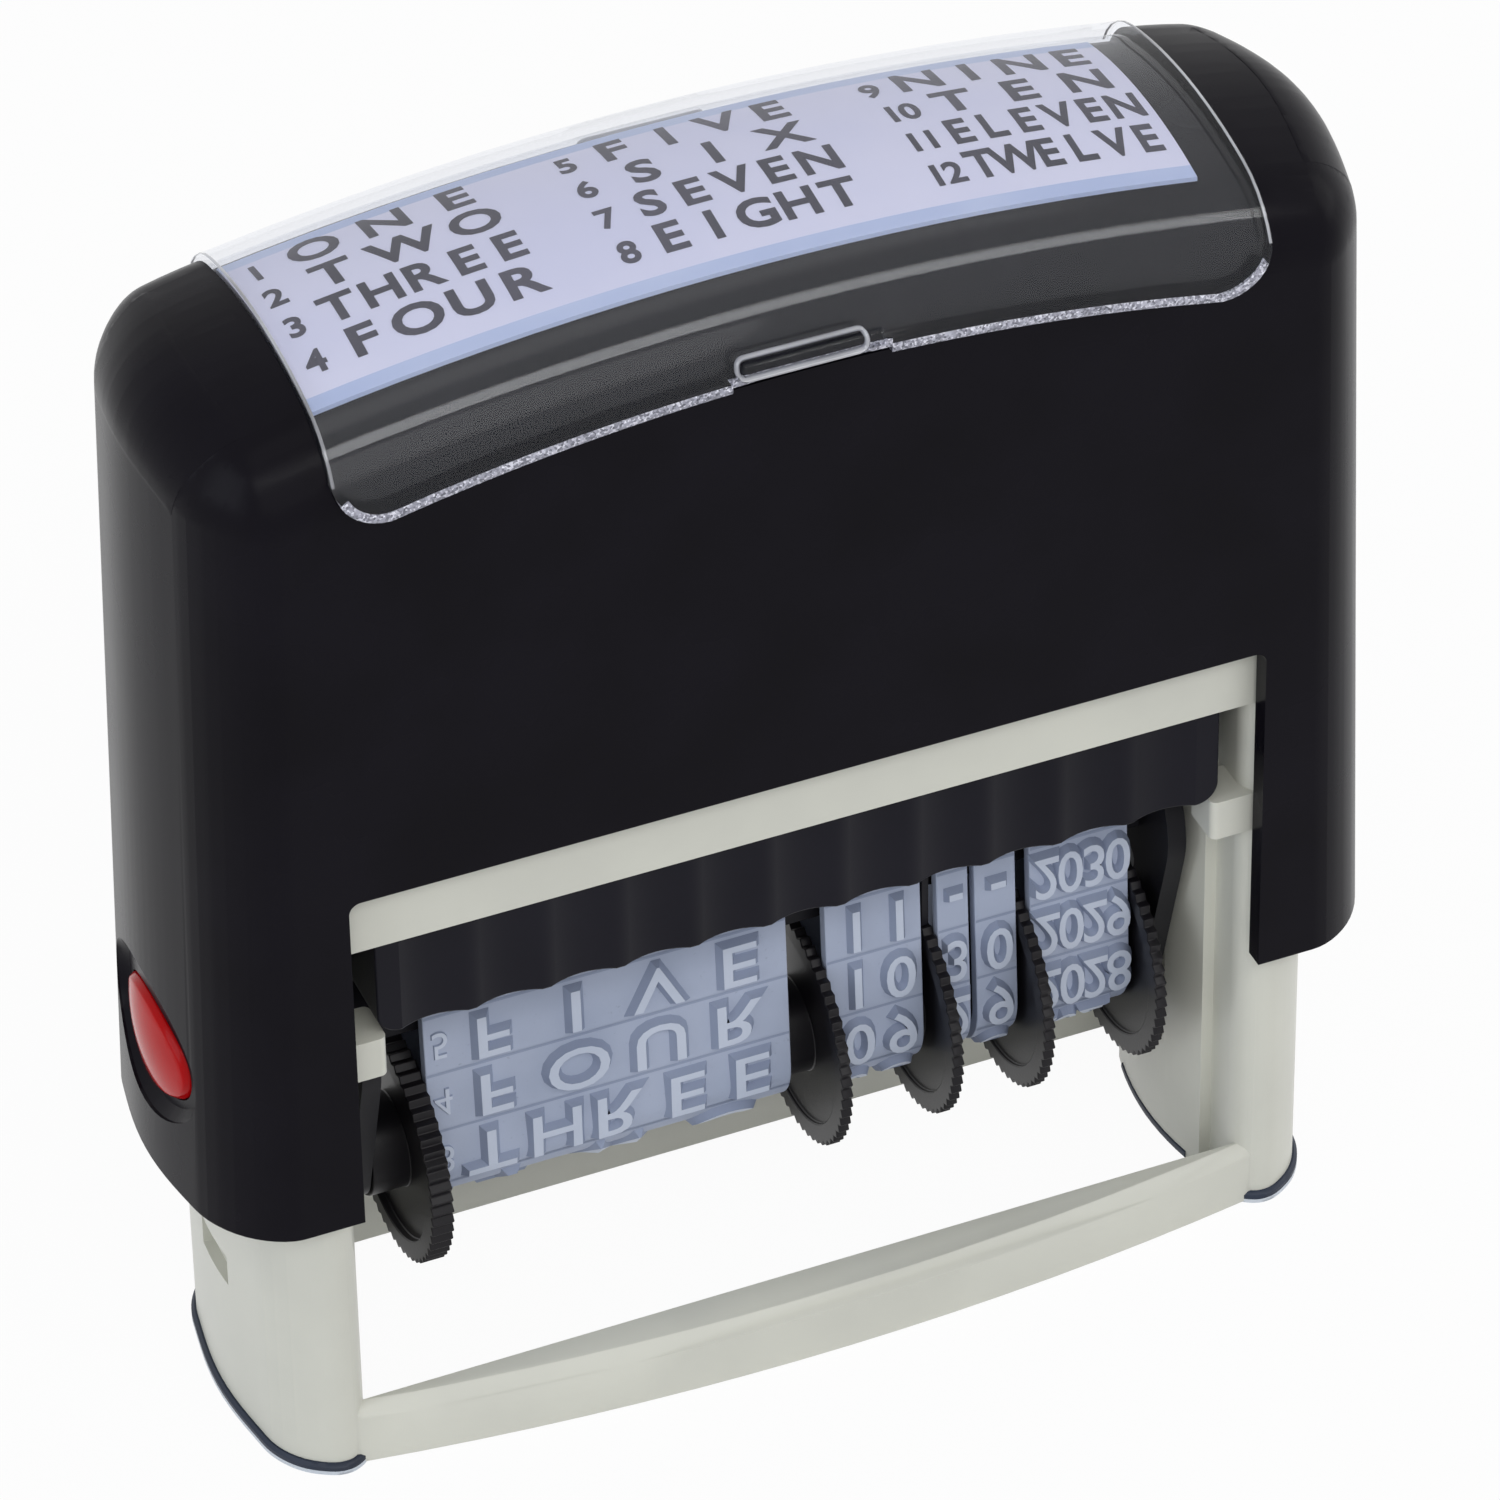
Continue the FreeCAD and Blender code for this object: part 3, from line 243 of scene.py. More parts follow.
class Shader(Tree):
    """One material's node tree, with its Principled shader."""

    def __init__(self, name: str) -> None:
        """Start a material.

        Args:
            name: The finish's name.
        """
        self.material = bpy.data.materials.new(name + "_finish")
        self.material.use_nodes = True
        super().__init__(self.material.node_tree, "ShaderNodeOutputMaterial")
        self.principled = self.node("ShaderNodeBsdfPrincipled")
        self.surface = Value(self, self.principled.outputs[0])
        self.show(self.surface)
        self.place = self.value("ShaderNodeTexCoord", output="Object")

    def set(self, **inputs: "Value | float | tuple") -> None:
        """Set the Principled shader's inputs; an underscore in a name stands for a space."""
        for name, value in inputs.items():
            self.feed(self.principled.inputs[name.replace("_", " ")], value)

    def noise(self, scale: float, detail: float = 2.0, stretch: tuple = (1.0, 1.0, 1.0)) -> Value:
        """A noise over the piece.

        Args:
            scale: Lumps to the metre.
            detail: Octaves.
            stretch: How much finer the lumps are along each axis.

        Returns:
            The noise, from about 0 to 1.
        """
        mapped = self.value("ShaderNodeMapping", {"Vector": self.place, "Scale": stretch})
        return self.value("ShaderNodeTexNoise", {"Vector": mapped, "Scale": scale, "Detail": detail},
                          output="Fac")

    def cells(self, scale: float) -> Value:
        """Random grey cells over the piece, at so many to the metre."""
        return self.value("ShaderNodeTexVoronoi", {"Vector": self.place, "Scale": scale}, output="Color")

    def mix(self, share: "Value | float", first: "Value | Colour", second: "Value | Colour") -> Value:
        """A mix of two colours, the second's share from 0 to 1."""
        return self.value("ShaderNodeMix", {0: share, 6: first, 7: second}, {"data_type": "RGBA"}, 2)

    def bump(self, height: Value, depth: float) -> None:
        """Raise the surface by a height map of a depth in metres."""
        self.set(Normal=self.value("ShaderNodeBump", {"Height": height, "Distance": depth,
                                                      "Strength": 1.0}))


@dataclass(frozen=True)
class Dressing:
    """What every finish has: a name and a way to lay itself on a shader."""

    name: str

    def dress(self, shader: Shader) -> None:
        """Lay the finish on a shader."""
        raise NotImplementedError

    def material(self) -> bpy.types.Material:
        """Build the finish's material."""
        shader = Shader(self.name)
        self.dress(shader)
        return shader.material


@dataclass(frozen=True)
class Moulding(Dressing):
    """A moulded plastic or rubber: a colour that drifts a little, fine grain and a sheen."""

    colour: Colour
    drift: Colour
    roughness: float
    roughness_drift: float = 0.08
    specular: float = 0.5
    grain: float = 9000.0
    grain_depth: float = 4e-6
    coat: float = 0.0
    coat_roughness: float = 0.06
    cloud: float = 90.0
    cloud_edges: tuple[float, float] = (0.3, 0.7)
    dust: Colour | None = None
    dust_grain: float = 2600.0
    dust_edges: tuple[float, float] = (0.66, 0.8)
    dust_share: float = 0.35

    def dress(self, shader: Shader) -> None:
        """Lay the finish on a shader."""
        cloud = shader.noise(self.cloud, 4.0)
        colour = shader.mix(cloud.step(*self.cloud_edges), self.colour, self.drift)
        if self.dust:
            speck = shader.noise(self.dust_grain, 3.0).step(*self.dust_edges)
            colour = shader.mix(speck * self.dust_share, colour, self.dust)
        shader.set(Base_Color=colour, Roughness=self.roughness + (cloud - 0.5) * self.roughness_drift,
                   Specular_IOR_Level=self.specular, Coat_Weight=self.coat,
                   Coat_Roughness=self.coat_roughness)
        shader.bump(shader.noise(self.grain, 2.0), self.grain_depth)


@dataclass(frozen=True)
class Steel(Dressing):
    """Drawn steel: fine lines along its length and a mid gloss."""

    colour: Colour
    stretch: tuple = (0.05, 1.0, 1.0)
    line_colour: Colour = srgb(150, 152, 156)
    line_scale: float = 30000.0
    line_depth: float = 2e-6
    roughness: float = 0.22
    roughness_drift: float = 0.2

    def dress(self, shader: Shader) -> None:
        """Lay the finish on a shader."""
        lines = shader.noise(self.line_scale, 2.0, self.stretch)
        shader.set(Base_Color=shader.mix(lines, self.colour, self.line_colour), Metallic=1.0,
                   Roughness=self.roughness + lines * self.roughness_drift)
        shader.bump(lines, self.line_depth)


@dataclass(frozen=True)
class Felt(Dressing):
    """Felt soaked with ink: deep, uneven and fibrous."""

    dark: Colour = srgb(9, 9, 16)
    light: Colour = srgb(34, 34, 48)
    fibre_scale: float = 5200.0
    fibre_depth: float = 1e-4
    roughness: float = 0.55
    roughness_drift: float = 0.4

    def dress(self, shader: Shader) -> None:
        """Lay the finish on a shader."""
        fibres = shader.noise(self.fibre_scale, 6.0)
        shader.set(Base_Color=shader.mix(fibres, self.dark, self.light),
                   Roughness=self.roughness + fibres * self.roughness_drift)
        shader.bump(fibres, self.fibre_depth)


@dataclass(frozen=True)
class Clear(Dressing):
    """Clear moulded plastic: see-through, with a polished face that carries reflections."""

    tint: Colour
    through: Colour = (0.955, 0.962, 0.982, 1.0)
    ior: float = 1.49
    gloss: float = 0.03
    gloss_drift: float = 0.03
    haze: float = 0.012
    mirror: float = 0.02
    mirror_edge_on: float = 0.6
    mirror_power: float = 5.0
    ripple_scale: float = 260.0
    ripple_stretch: tuple = (0.15, 1.0, 1.0)
    ripple_depth: float = 6e-6

    def dress(self, shader: Shader) -> None:
        """Lay the finish on a shader."""
        ripple = shader.noise(self.ripple_scale, 3.0, self.ripple_stretch)
        roughness = self.gloss + ripple * self.gloss_drift
        shader.set(Base_Color=self.tint, Roughness=roughness, IOR=self.ior, Specular_IOR_Level=0.5)
        shader.bump(ripple, self.ripple_depth)
        through = shader.value("ShaderNodeBsdfTransparent", {"Color": self.through})
        edge_on = shader.value("ShaderNodeLayerWeight", {"Blend": 0.5}, output="Facing")
        gloss = shader.value("ShaderNodeBsdfGlossy", {"Color": WHITE, "Roughness": roughness})
        mirror = self.mirror + edge_on.power(self.mirror_power) * self.mirror_edge_on
        polished = shader.blend(mirror, through, gloss)
        shader.show(shader.blend(self.haze, polished, shader.surface))


@dataclass(frozen=True)
class Frosted(Dressing):
    """A sawn or etched edge of clear plastic: white, rough and full of small glints."""

    dark: Colour = srgb(96, 97, 108)
    middle: Colour = srgb(168, 168, 182)
    light: Colour = srgb(240, 240, 250)
    grit_scale: float = 7000.0
    grit_depth: float = 4e-5
    roughness: float = 0.25
    roughness_drift: float = 0.4

    def dress(self, shader: Shader) -> None:
        """Lay the finish on a shader."""
        grit = shader.cells(self.grit_scale)
        stops = [(0.15, self.dark), (0.55, self.middle), (0.9, self.light)]
        colour = shader.value("ShaderNodeValToRGB", {"Fac": grit}, {"stops": stops})
        shader.set(Base_Color=colour, Roughness=self.roughness + grit * self.roughness_drift)
        shader.bump(grit, self.grit_depth)


class Finish(Enum):
    """Every finish on the stamp, under the record's slot names where it has one."""

    CAP = Moulding("cap_black", srgb(14, 12, 18), srgb(18, 16, 23), 0.27, 0.05, specular=0.06,
                   grain=11000.0)
    IVORY = Moulding("frame_ivory", srgb(213, 213, 202), srgb(206, 206, 196), 0.36, 0.1,
                     grain=8000.0, grain_depth=3e-6)
    CASSETTE = Moulding("cassette_plastic", srgb(16, 15, 24), srgb(21, 20, 29), 0.38, 0.1,
                        specular=0.12, grain=6000.0, grain_depth=6e-6)
    WHEEL = Moulding("wheel_plastic", srgb(20, 19, 23), srgb(28, 26, 29), 0.36, 0.1,
                     specular=0.2, grain=6000.0, grain_depth=6e-6)
    INNER = Moulding("inner_plastic", srgb(22, 22, 26), srgb(30, 29, 34), 0.42, 0.1, specular=0.15)
    RUBBER = Moulding("band_rubber", srgb(160, 170, 192), srgb(174, 183, 204), 0.6, 0.1, specular=0.3,
                      grain=3200.0, grain_depth=1.5e-5, dust=srgb(120, 128, 148))
    # The type is the band's own rubber: its faces are painted lighter as lit faces, and its flanks darker as
    # painted shade.
    TYPE = Moulding("band_type", srgb(186, 195, 213), srgb(197, 205, 222), 0.5, 0.1, specular=0.4,
                    grain=4200.0, grain_depth=1e-5)
    FLANK = Moulding("band_flank", srgb(136, 146, 170), srgb(151, 161, 184), 0.65, 0.1,
                     specular=0.25, grain=3600.0, grain_depth=1.5e-5)
    RED = Moulding("button_red", srgb(170, 2, 8), srgb(184, 8, 12), 0.14, 0.03, specular=0.1,
                   grain=900.0, grain_depth=1e-6)
    # The pad is dark blue above a pale lip, and its dark line runs on under the leg's rib.
    PAD = Moulding("foot_rubber", srgb(16, 26, 44), srgb(24, 36, 56), 0.5, 0.1, specular=0.4)
    LIP = Moulding("foot_lip", srgb(196, 204, 214), srgb(208, 214, 222), 0.35, 0.1)
    CARD = Moulding("card", srgb(238, 236, 252), srgb(232, 231, 250), 0.75, 0.05, specular=0.2,
                    grain=4000.0)
    MARGIN = Moulding("card_margin", srgb(196, 208, 238), srgb(210, 219, 243), 0.6, 0.05,
                      specular=0.3, grain=4000.0, grain_depth=3e-6)
    INK = Moulding("card_ink", srgb(74, 72, 80), srgb(96, 93, 103), 0.7, 0.05, specular=0.2,
                   grain_depth=3e-6)
    STEEL = Steel("steel", srgb(188, 190, 194))
    SPRING = Steel("spring_steel", srgb(172, 174, 180), (1.0, 1.0, 1.0))
    FELT = Felt("ink_felt")
    CLEAR = Clear("clear_cover", srgb(150, 156, 168))
    FROST = Frosted("cover_frost")
    # Pale, glossy, opaque beads on the clear cover: painted highlights along its end edges and round the
    # thumb rib.
    RIB = Moulding("cover_rib", srgb(120, 120, 126), srgb(196, 198, 206), 0.1, 0.04, specular=0.8,
                   grain=500.0, grain_depth=1e-6, coat=0.8)

    @cache
    def made(self) -> bpy.types.Material:
        """The finish's material, built the first time that it is asked for."""
        return self.value.material()


def linked(name: str, data: bpy.types.ID) -> bpy.types.Object:
    """Put an object with its data into the scene.

    Args:
        name: The object's name.
        data: Its mesh, curve, lamp or camera.

    Returns:
        The object.
    """
    made = bpy.data.objects.new(name, data)
    bpy.context.scene.collection.objects.link(made)
    return made


def piece(name: str, bm: BMesh, body: str, finishes: list[Finish],
          replaces: list[str] | None = None, turn: float = SHARP_TURN) -> bpy.types.Object:
    """Turn a bmesh into a piece that rides on a body.

    Args:
        name: The piece's name.
        bm: Its shape, in place; it is freed.
        body: The body that it rides on.
        finishes: Its finishes in the order of the faces' material numbers.
        replaces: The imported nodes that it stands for.
        turn: The least turn between two faces that is shaded as an edge, in degrees.

    Returns:
        The piece, shaded smooth.
    """
    mesh = bpy.data.meshes.new(name)
    bm.to_mesh(mesh)
    bm.free()
    for finish in finishes:
        mesh.materials.append(finish.made())
    mesh.shade_smooth()
    mesh.set_sharp_from_angle(angle=math.radians(turn))
    made = linked(name, mesh)
    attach(made, body)
    if replaces:
        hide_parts(*replaces)
    log.info("%s: %d faces on %s", name, len(mesh.polygons), body)
    return made


def soften(made: bpy.types.Object, width: float, degrees: float) -> None:
    """Break a piece's sharp edges with a live bevel, and let its large faces lead the shading.

    Args:
        made: The piece.
        width: The bevel's width in metres.
        degrees: The least turn between two faces that counts as an edge.
    """
    bevel = made.modifiers.new("edges", "BEVEL")
    bevel.width = width
    bevel.segments = 2
    bevel.limit_method = "ANGLE"
    bevel.angle_limit = math.radians(degrees)
    bevel.use_clamp_overlap = True
    shading = made.modifiers.new("shading", "WEIGHTED_NORMAL")
    shading.mode = "FACE_AREA_WITH_ANGLE"
    shading.keep_sharp = True


def node_shape(node: str, merge: float = MERGE) -> BMesh:
    """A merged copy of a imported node's mesh, its flat faces whole again.

    Args:
        node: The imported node.
        merge: How near points are merged, in metres.

    Returns:
        The copy.
    """
    bm = bmesh.new()
    bm.from_mesh(frame["nodes"][node].data)
    bmesh.ops.remove_doubles(bm, verts=bm.verts, dist=merge)
    bmesh.ops.dissolve_limit(bm, angle_limit=math.radians(FLAT_TURN), verts=bm.verts, edges=bm.edges)
    return bm


def cut_whole(bm: BMesh, across: Vector, place: float) -> None:
    """Cut a whole shape by a plane at a place along a direction."""
    bmesh.ops.bisect_plane(bm, geom=bm.verts[:] + bm.edges[:] + bm.faces[:],
                           plane_co=across * place, plane_no=across)


@dataclass(frozen=True)
class EndRound:
    """Draws the corners of a straight end in, so that the end is rounded as a whole in plan.

    Lengths in metres. Nothing moves in the middle plane, so the piece keeps its length.
    """

    draw: float
    half_depth: float = 11.0 * MM
    start: float = 31.5 * MM
    full: float = 39.0 * MM
    cuts: int = 12

    def apply(self, bm: BMesh) -> BMesh:
        """Cut the ends into strips 1 mm deep and draw them in.

        Args:
            bm: The shape.

        Returns:
            The same shape.
        """
        for side in (-1.0, 1.0):
            self._cut(bm, bm.faces[:], Vector((side, 0.0, 0.0)), self.start)
        for k in range(-self.cuts, self.cuts + 1):
            faces = [f for f in bm.faces if abs(f.calc_center_median().x) > self.start]
            self._cut(bm, faces, Vector((0.0, 1.0, 0.0)), k * MM)
        for vert in bm.verts:
            depth = min(1.0, abs(vert.co.y) / self.half_depth) ** 2
            share = smooth_share(abs(vert.co.x), self.start, self.full) * depth * (2.0 - depth)
            vert.co.x -= math.copysign(self.draw * share, vert.co.x)
        return bm

    @staticmethod
    def _cut(bm: BMesh, faces: list[bmesh.types.BMFace], across: Vector, place: float) -> None:
        """Cut some faces by a plane at a place along a direction."""
        geom = list({v for f in faces for v in f.verts} | {e for f in faces for e in f.edges}) + faces
        bmesh.ops.bisect_plane(bm, geom=geom, plane_co=across * place, plane_no=across, dist=MERGE)


def smooth_share(value: float, low: float, high: float) -> float:
    """A smooth step from 0 at low to 1 at high."""
    share = min(1.0, max(0.0, (value - low) / (high - low)))
    return share * share * (3.0 - 2.0 * share)


def body_of(node: str) -> str:
    """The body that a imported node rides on."""
    return frame["nodes"][node]["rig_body"]


def moulded_copy(node: str, finish: Finish, edge: float, merge: float = MERGE,
                 shape: Callable[[BMesh], object] | None = None,
                 turn: float = SHARP_TURN) -> None:
    """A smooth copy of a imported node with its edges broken, which replaces the node.

    Args:
        node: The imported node.
        finish: The copy's finish.
        edge: The width of the broken edges in metres.
        merge: How near points are merged, in metres.
        shape: What is done to its shape, if anything.
        turn: The least turn between two faces that counts as an edge, in degrees.
    """
    bm = node_shape(node, merge)
    if shape:
        shape(bm)
    made = piece(node + "_moulding", bm, body_of(node), [finish], [node], turn)
    if edge > 0.0:
        soften(made, edge, turn)


class TypeCase:
    """Cuts single characters as flat or raised shapes."""

    def __init__(self) -> None:
        """Measure a capital as the font sets it."""
        mesh = self._set("H")
        heights = [v.co.y for v in mesh.vertices]
        self.height = max(heights) - min(heights)
        bpy.data.meshes.remove(mesh)

    @staticmethod
    def _set(text: str, extrude: float = 0.0, bevel: float = 0.0, swell: float = 0.0) -> bpy.types.Mesh:
        """Set one character at the font's own size.

        Args:
            text: The character.
            extrude: Half of its thickness between its flanks.
            bevel: The width and height of its flanks.
            swell: How much fatter its strokes are.

        Returns:
            The character's mesh.
        """
        curve = bpy.data.curves.new("type", "FONT")
        curve.body = text
        curve.size = 1.0
        curve.resolution_u = 4
        curve.extrude = extrude
        curve.bevel_depth = bevel
        curve.bevel_resolution = 0
        curve.offset = swell
        holder = linked("type", curve)
        bpy.context.view_layer.update()
        graph = bpy.context.evaluated_depsgraph_get()
        mesh = bpy.data.meshes.new_from_object(holder.evaluated_get(graph))
        bpy.data.objects.remove(holder)
        bpy.data.curves.remove(curve)
        return mesh

    def cut(self, text: str, width: float, height: float, depth: float, flare: float = 0.0,
            swell: float = 0.0) -> BMesh:
        """Cut a character.

        Args:
            text: The character.
            width: How much wider than the font sets it.
            height: The height of a capital in metres.
            depth: Its thickness in metres, from 0 upwards.
            flare: How much wider its foot is than its face on each side, in metres.
            swell: How much fatter its strokes are, in metres.

        Returns:
            The shape, its width centred on x = 0 and its capitals standing on y = 0. Its face has
            the material number 0 and its flanks 1.
        """
        scale = height / self.height
        half = flare / scale if flare else 0.5 * depth / scale
        mesh = self._set(text, 0.0 if flare else half, flare / scale, swell / scale)
        bm = bmesh.new()
        bm.from_mesh(mesh)
        bpy.data.meshes.remove(mesh)
        bmesh.ops.remove_doubles(bm, verts=bm.verts, dist=1e-5)
        under = [f for f in bm.faces if f.calc_center_median().z < -0.1 * half]
        bmesh.ops.delete(bm, geom=under, context="FACES")
        # Faces below the top are flanks, material 1: the bands paint them darker as shade and the tops
        # lighter as lit faces.
        for face in bm.faces:
            face.material_index = int(face.calc_center_median().z < 0.9 * half)
        xs = [v.co.x for v in bm.verts]
        middle = (min(xs) + max(xs)) / 2.0
        for vert in bm.verts:
            rise = max(vert.co.z, 0.0) / half if flare else (vert.co.z / half + 1.0) / 2.0
            vert.co = Vector(((vert.co.x - middle) * scale * width, vert.co.y * scale, rise * depth))
        return bm


def add_shape(target: BMesh, shape: BMesh, place: Callable[[Vector], Vector],
              material: int | None = None) -> None:
    """Put a shape into another through a function of each point.

    Args:
        target: The bmesh that takes it.
        shape: The shape, which is freed.
        place: A function from a point of the shape to a point of the piece.
        material: The material number of the new faces, or None to keep the shape's own.
    """
    known = {vert: target.verts.new(place(vert.co)) for vert in shape.verts}
    for face in shape.faces:
        made = target.faces.new([known[v] for v in face.verts])
        made.material_index = face.material_index if material is None else material
    shape.free()


class Surface:
    """A piece's outside, onto which trim is laid."""

    def __init__(self, shape: BMesh) -> None:
        """Take the shape, which is freed."""
        self.tree = BVHTree.FromBMesh(shape)
        shape.free()

    def line(self, starts: Iterable[Vector], towards: Iterable[Vector]) -> list[tuple[Vector, Vector]]:
        """Lay a line onto the surface.

        Args:
            starts: Points in front of the surface.
            towards: The direction from each point to the surface.

        Returns:
            The point that is met first and the outward direction there, without the misses.
        """
        hits = [(self.tree.ray_cast(start, way), way) for start, way in zip(starts, towards)]
        return [(hit[0], hit[1] if hit[1].dot(way) < 0.0 else -hit[1])
                for hit, way in hits if hit[0] is not None]

    def drape(self, x: float, y: float, lift: float) -> Vector:
        """The point of the top over a flat place, raised by a lift, all in metres."""
        place, outward = self.line([Vector((x, y, 1.0))], [Vector((0.0, 0.0, -1.0))])[0]
        return place + outward * lift


def bead(target: BMesh, path: list[tuple[Vector, Vector]], width: float, height: float,
         closed: bool = False) -> None:
    """Extrude a rounded bead along a path on a surface.

    Args:
        target: The bmesh that takes it.
        path: The middle of the bead: points on the surface and the outward direction at each.
        width: Its width in metres.
        height: How far it stands off the surface in metres.
        closed: Whether the path closes on itself.
    """
    bm = bmesh.new()
    circle = bmesh.ops.create_circle(bm, segments=8, radius=0.5)
    bmesh.ops.scale(bm, vec=(width, 2.0 * height, 1.0), verts=circle["verts"])
    edges, verts = bm.edges[:], circle["verts"]
    start = Matrix.Identity(4)
    for i, (point, outward) in enumerate(path + path[:int(closed)]):
        before = path[(i - 1) % len(path)][0] if closed or i else point
        after = path[(i + 1) % len(path)][0] if closed or i < len(path) - 1 else point
        along = (after - before).normalized()
        across = outward.cross(along).normalized()
        place = Matrix((across, along.cross(across), along)).transposed().to_4x4()
        place.translation = point
        if i:
            grown = bmesh.ops.extrude_edge_only(bm, edges=edges)["geom"]
            edges = [e for e in grown if isinstance(e, bmesh.types.BMEdge)]
            verts = [v for v in grown if isinstance(v, bmesh.types.BMVert)]
        bmesh.ops.transform(bm, matrix=place @ start.inverted(), verts=verts)
        start = place
    if closed:
        bmesh.ops.remove_doubles(bm, verts=bm.verts, dist=1e-6)
    else:
        bmesh.ops.holes_fill(bm, edges=bm.edges)
    bmesh.ops.recalc_face_normals(bm, faces=bm.faces)
    add_shape(target, bm, lambda co: co, 0)


def rounded_path(corners: list[tuple[Vector, float]], steps: int = 8) -> list[Vector]:
    """A closed path through corners, each rounded by its own radius.

    Args:
        corners: Each corner and its radius in metres.
        steps: Points to a corner.

    Returns:
        The path's points.
    """
    points = []
    for i, (corner, radius) in enumerate(corners):
        back = (corners[i - 1][0] - corner).normalized()
        on = (corners[(i + 1) % len(corners)][0] - corner).normalized()
        reach = radius / math.tan(back.angle(on) / 2.0)
        start, end = corner + back * reach, corner + on * reach
        for k in range(steps + 1):
            share = k / steps
            points.append(start.lerp(corner, share).lerp(corner.lerp(end, share), share))
    return points


@dataclass(frozen=True)
class BandLoop:
    """The line that the outer face of every band follows, seen along +X."""

    CORNER = 1.25 * MM
    HALF_NOSE = 3.1 * MM

    axle: Vector
    hub: float
    nose_y: float
    nose_z: float
    corner: float

    @classmethod
    def from_frame(cls) -> "BandLoop":
        """Read the loop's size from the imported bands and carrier.

        Returns:
            The loop.
        """
        low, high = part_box("phrase_band")
        axle_low, axle_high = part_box("wheel_axle")
        axle = Vector((0.0, 0.0, (axle_low.z + axle_high.z) / 2.0))
        return cls(axle, axle.z - low.z, cls.HALF_NOSE - cls.CORNER, high.z - cls.CORNER, cls.CORNER)

    @property
    def lean(self) -> float:
        """How far the front run's face looks up or down, in radians."""
        rise = self.nose_z - self.axle.z
        length = math.hypot(rise, self.nose_y)
        return math.asin((self.hub - self.corner) / length) - math.atan2(self.nose_y, rise)

    @property
    def run(self) -> float:
        """The length of the straight front run."""
        rise = self.nose_z - self.axle.z
        return math.sqrt(rise ** 2 + self.nose_y ** 2 - (self.hub - self.corner) ** 2)

    @property
    def length(self) -> float:
        """The length of the whole loop."""
        turn = math.pi + 2.0 * self.lean
        return 2.0 * self.run + self.hub * turn + self.corner * (2.0 * math.pi - turn) + 2.0 * self.nose_y

    def at(self, travel: float, lift: float) -> tuple[float, float]:
        """A point of the loop.

        Args:
            travel: The way along the loop in metres, from the top of the front run downwards.
            lift: The height over the band's face in metres.

        Returns:
            The point's y and z.
        """
        travel %= self.length
        side = 1.0
        turn = math.pi + 2.0 * self.lean
        half = self.run + self.hub * turn / 2.0
        if travel > half:
            side = -1.0
            travel = 2.0 * half - travel
        normal = (-math.cos(self.lean), -math.sin(self.lean))
        if travel < 0.0:
            angle = min(-travel / self.corner, math.pi / 2.0 + self.lean)
            over = -travel - self.corner * angle
            facing = -self.lean + angle
            y = -self.nose_y - (self.corner + lift) * math.cos(facing) + over
            z = self.nose_z + (self.corner + lift) * math.sin(facing)
        elif travel <= self.run:
            share = travel / self.run
            off = self.corner + (self.hub - self.corner) * share + lift
            y = -self.nose_y * (1.0 - share) + normal[0] * off
            z = self.nose_z + (self.axle.z - self.nose_z) * share + normal[1] * off
        else:
            angle = (travel - self.run) / self.hub + self.lean
            y = -(self.hub + lift) * math.cos(angle)
            z = self.axle.z - (self.hub + lift) * math.sin(angle)
        return side * y, z


